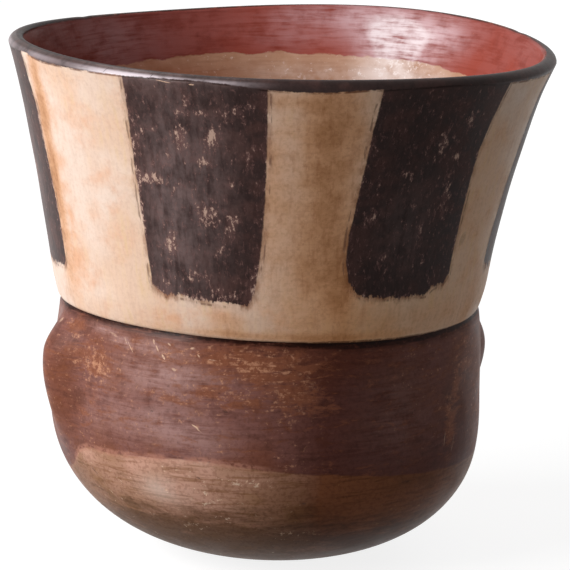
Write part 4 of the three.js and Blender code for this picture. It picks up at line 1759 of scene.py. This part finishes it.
        # A thin painted shadow line along the edges of the lip's black band.
        edge_shadow_line = board.times(board.near(lip, -0.15, 0.5, 0.15), board.rise(grain.mottle, 0.4, 0.56))
        share = self.ragged(board, lip, grain.crumble, self.lip_edge, 0.35)
        edged = Layer(board.cover(self.lip_edge_shadow, edge_shadow_line, whole.colour), whole.burnish)
        painted_sheen = board.attribute("painted_sheen")
        sheen = board.weigh(painted_sheen, self.lip_painted_sheen_burnish, self.lip_burnish)
        shoulder = board.near(board.attribute("past"), self.lip_shoulder, 1.3, 0.3)
        # A painted highlight on the lip's outer shoulder.
        painted_sheen_amount = board.times(board.times(painted_sheen, shoulder), board.rise(grain.mottle, 0.2, 0.56))
        colour = board.cover(self.lip_painted_highlight, painted_sheen_amount, black.colour)
        worn = board.weigh(board.attribute("rubbed"), 0.2, grain.crumble)
        colour = board.lay(self.lip_wear, worn, colour)
        return self.over(board, share, edged, Layer(colour, sheen)), share

    def shade(self, board: Board, grain: Grain, whole: Layer, relief: Socket) -> None:
        """Joins colour, roughness, burnish and relief to the shader.

        The brush marks of the relief run upright over the neck and sideways under it.

        Args:
            board: The material's nodes.
            grain: The shared patterns.
            whole: The finished surface.
            relief: Height of the paint and the marks.
        """
        nodes, links, gloss = board.tree.nodes, board.tree.links, self.gloss
        neck = board.times(board.rise(board.attribute("rise"), -1.0, 1.0), 0.5)
        turned = board.maths(Operation.TAKE, grain.upright, grain.sideways)
        strokes = board.weigh(turned, neck, board.times(grain.sideways, 0.5))
        height = board.add(board.weigh(grain.fine, 0.2, strokes), relief)
        rough = board.weigh(grain.mottle, gloss.rough_spread, gloss.rough - gloss.rough_spread / 2.0)
        bump = nodes.new("ShaderNodeBump")
        bump.inputs["Strength"].default_value = 1.0
        bump.inputs["Distance"].default_value = gloss.relief_depth
        links.new(height, bump.inputs["Height"])
        shader = nodes.new("ShaderNodeBsdfPrincipled")
        shader.inputs["Specular IOR Level"].default_value = gloss.specular
        shader.inputs["Coat Roughness"].default_value = gloss.coat_rough
        links.new(whole.colour, shader.inputs["Base Color"])
        links.new(rough, shader.inputs["Roughness"])
        links.new(whole.burnish, shader.inputs["Coat Weight"])
        links.new(bump.outputs["Normal"], shader.inputs["Normal"])
        links.new(bump.outputs["Normal"], shader.inputs["Coat Normal"])
        output = nodes.new("ShaderNodeOutputMaterial")
        links.new(shader.outputs["BSDF"], output.inputs["Surface"])


@dataclass(frozen=True)
class Studio:
    """The photograph's camera, a plain white floor, a large soft lamp and a weak one, in metres."""

    elevation: float = 12.09
    distance: float = 1.0255
    aim_across: float = 0.00071
    aim_up: float = 0.07787
    frame_pixels: float = 570.0
    focal_pixels: float = 3500.0
    clip: tuple[float, float] = (0.01, 200.0)
    floor_size: float = 60.0
    key_power: float = 12.1
    key_facing: float = -68.0
    key_height: float = 0.5
    key_distance: float = 0.92
    key_width: float = 0.9
    key_tall: float = 0.5
    fill: float = 0.25
    back_power: float = 5.0
    back_facing: float = 160.0
    back_distance: float = 1.3
    floor_shade: float = 0.3
    floor_rough: float = 0.9
    floor_glow: float = 0.84

    def set_camera(self) -> None:
        """Puts the camera on its line of sight and gives it the photograph's field of view."""
        tilt = math.radians(self.elevation)
        aim = Vector((self.aim_across, 0.0, self.aim_up))
        eye = aim + Vector((0.0, -math.cos(tilt), math.sin(tilt))) * self.distance
        data = bpy.data.cameras.new("photo_camera")
        data.sensor_fit = "HORIZONTAL"
        data.angle = 2.0 * math.atan(self.frame_pixels / 2.0 / self.focal_pixels)
        data.clip_start, data.clip_end = self.clip
        camera = put("photo_camera", data)
        camera.location = eye
        camera.rotation_euler = (aim - eye).to_track_quat("-Z", "Y").to_euler()
        bpy.context.scene.camera = camera

    def show_seen(self, tree: bpy.types.NodeTree, plain: Socket, seen: Socket, output: str) -> None:
        """Shows one shader to the camera, also by way of shiny or clear surfaces, and another to all else.

        Args:
            tree: The material's or the world's nodes.
            plain: The shader that lights the scene.
            seen: The shader that the camera sees.
            output: The name of the output node.
        """
        choice = tree.nodes.new("ShaderNodeMixShader")
        path = tree.nodes.new("ShaderNodeLightPath")
        either = path.outputs["Is Camera Ray"]
        for kind in ("Is Glossy Ray", "Is Transmission Ray"):
            most = tree.nodes.new("ShaderNodeMath")
            most.operation = "MAXIMUM"
            tree.links.new(either, most.inputs[0])
            tree.links.new(path.outputs[kind], most.inputs[1])
            either = most.outputs[0]
        for place, source in enumerate((either, plain, seen)):
            tree.links.new(source, choice.inputs[place])
        tree.links.new(choice.outputs[0], tree.nodes[output].inputs["Surface"])

    def lay_floor(self) -> None:
        """A white floor that the camera sees as white, except where the cup shades it."""
        half = self.floor_size / 2.0
        mesh = bpy.data.meshes.new("floor")
        corners = [(-half, -half, 0), (half, -half, 0), (half, half, 0), (-half, half, 0)]
        mesh.from_pydata(corners, [], [(0, 1, 2, 3)])
        floor = put("floor", mesh)
        material = bpy.data.materials.new("white_floor")
        material.use_nodes = True
        tree = material.node_tree
        shader = tree.nodes["Principled BSDF"]
        shader.inputs["Base Color"].default_value = (*[self.floor_shade] * 3, 1.0)
        shader.inputs["Roughness"].default_value = self.floor_rough
        shader.inputs["Specular IOR Level"].default_value = 0.0
        glow = tree.nodes.new("ShaderNodeEmission")
        glow.inputs["Strength"].default_value = self.floor_glow
        added = tree.nodes.new("ShaderNodeAddShader")
        tree.links.new(shader.outputs[0], added.inputs[0])
        tree.links.new(glow.outputs[0], added.inputs[1])
        self.show_seen(tree, shader.outputs[0], added.outputs[0], "Material Output")
        mesh.materials.append(material)

    def lamp(self, name: str, facing: float, distance: float, power: float) -> bpy.types.Object:
        """One large soft lamp, turned to the cup.

        Args:
            name: Its name.
            facing: Degrees from the photographed side.
            distance: Metres from the cup.
            power: Watts.

        Returns:
            The lamp.
        """
        side = math.radians(facing)
        data = bpy.data.lights.new(name, "AREA")
        data.shape = "RECTANGLE"
        data.size = self.key_width
        data.size_y = self.key_tall
        data.energy = power
        lamp = put(name, data)
        lamp.location = (math.sin(side) * distance, -math.cos(side) * distance, self.key_height)
        aim = Vector((0.0, 0.0, self.aim_up)) - lamp.location
        lamp.rotation_euler = aim.to_track_quat("-Z", "Y").to_euler()
        return lamp

    def light(self) -> None:
        """A large lamp at the left front, a weak one behind, and a dim world that the camera sees as white.

        The weak one is hidden from reflections, so it adds no highlight to the photographed side.
        """
        self.lamp("key", self.key_facing, self.key_distance, self.key_power)
        self.lamp("back", self.back_facing, self.back_distance, self.back_power).visible_glossy = False
        world = bpy.data.worlds.new("studio")
        world.use_nodes = True
        bpy.context.scene.world = world
        tree = world.node_tree
        dim = tree.nodes["Background"]
        dim.inputs["Color"].default_value = (1.0, 1.0, 1.0, 1.0)
        dim.inputs["Strength"].default_value = self.fill
        white = tree.nodes.new("ShaderNodeBackground")
        white.inputs["Strength"].default_value = 1.0
        self.show_seen(tree, dim.outputs[0], white.outputs[0], "World Output")

    def build(self) -> None:
        """Sets the camera, the floor and the lights."""
        bpy.context.scene.view_settings.view_transform = "Standard"
        self.set_camera()
        self.lay_floor()
        self.light()


def dress(piece: bpy.types.Object, node: str, material: bpy.types.Material) -> None:
    """Gives a piece its material and says which solid it stands for.

    Args:
        piece: The new piece.
        node: The CAD node that it replaces.
        material: Its finish.
    """
    piece.data.materials.append(material)
    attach(piece, "root")
    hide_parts(node)
    LOG.info("%s stands for %s: %d faces", piece.name, node, len(piece.data.polygons))


def main() -> None:
    """Builds the cup piece by piece, then the studio."""
    logging.basicConfig(level=logging.INFO, format="%(name)s: %(message)s")
    shape, design = CupShape(), Design()
    clay = PaintedClay().material("painted_clay")
    dress(BaseBowl(shape, design).build(), "base_bowl", clay)
    dress(BellyWall(shape, design).build(), "belly_wall", clay)
    dress(NeckWall(shape, design).build(), "neck_wall", clay)
    dress(RimCoil(shape, design).build(), "rim_coil", clay)
    left = Lug("clay_left_lug", "left_lug", shape, design,
               turn_degrees=202.0, height=61.5, below=24.0, half_width=12.0, out=6.4)
    right = Lug("clay_right_lug", "right_lug", shape, design,
                turn_degrees=19.5, height=57.5, below=17.0, half_width=12.0, out=6.2)
    for lug in (left, right):
        dress(lug.build(), lug.node, clay)
    Studio().build()


if __name__ == "__main__":
    main()
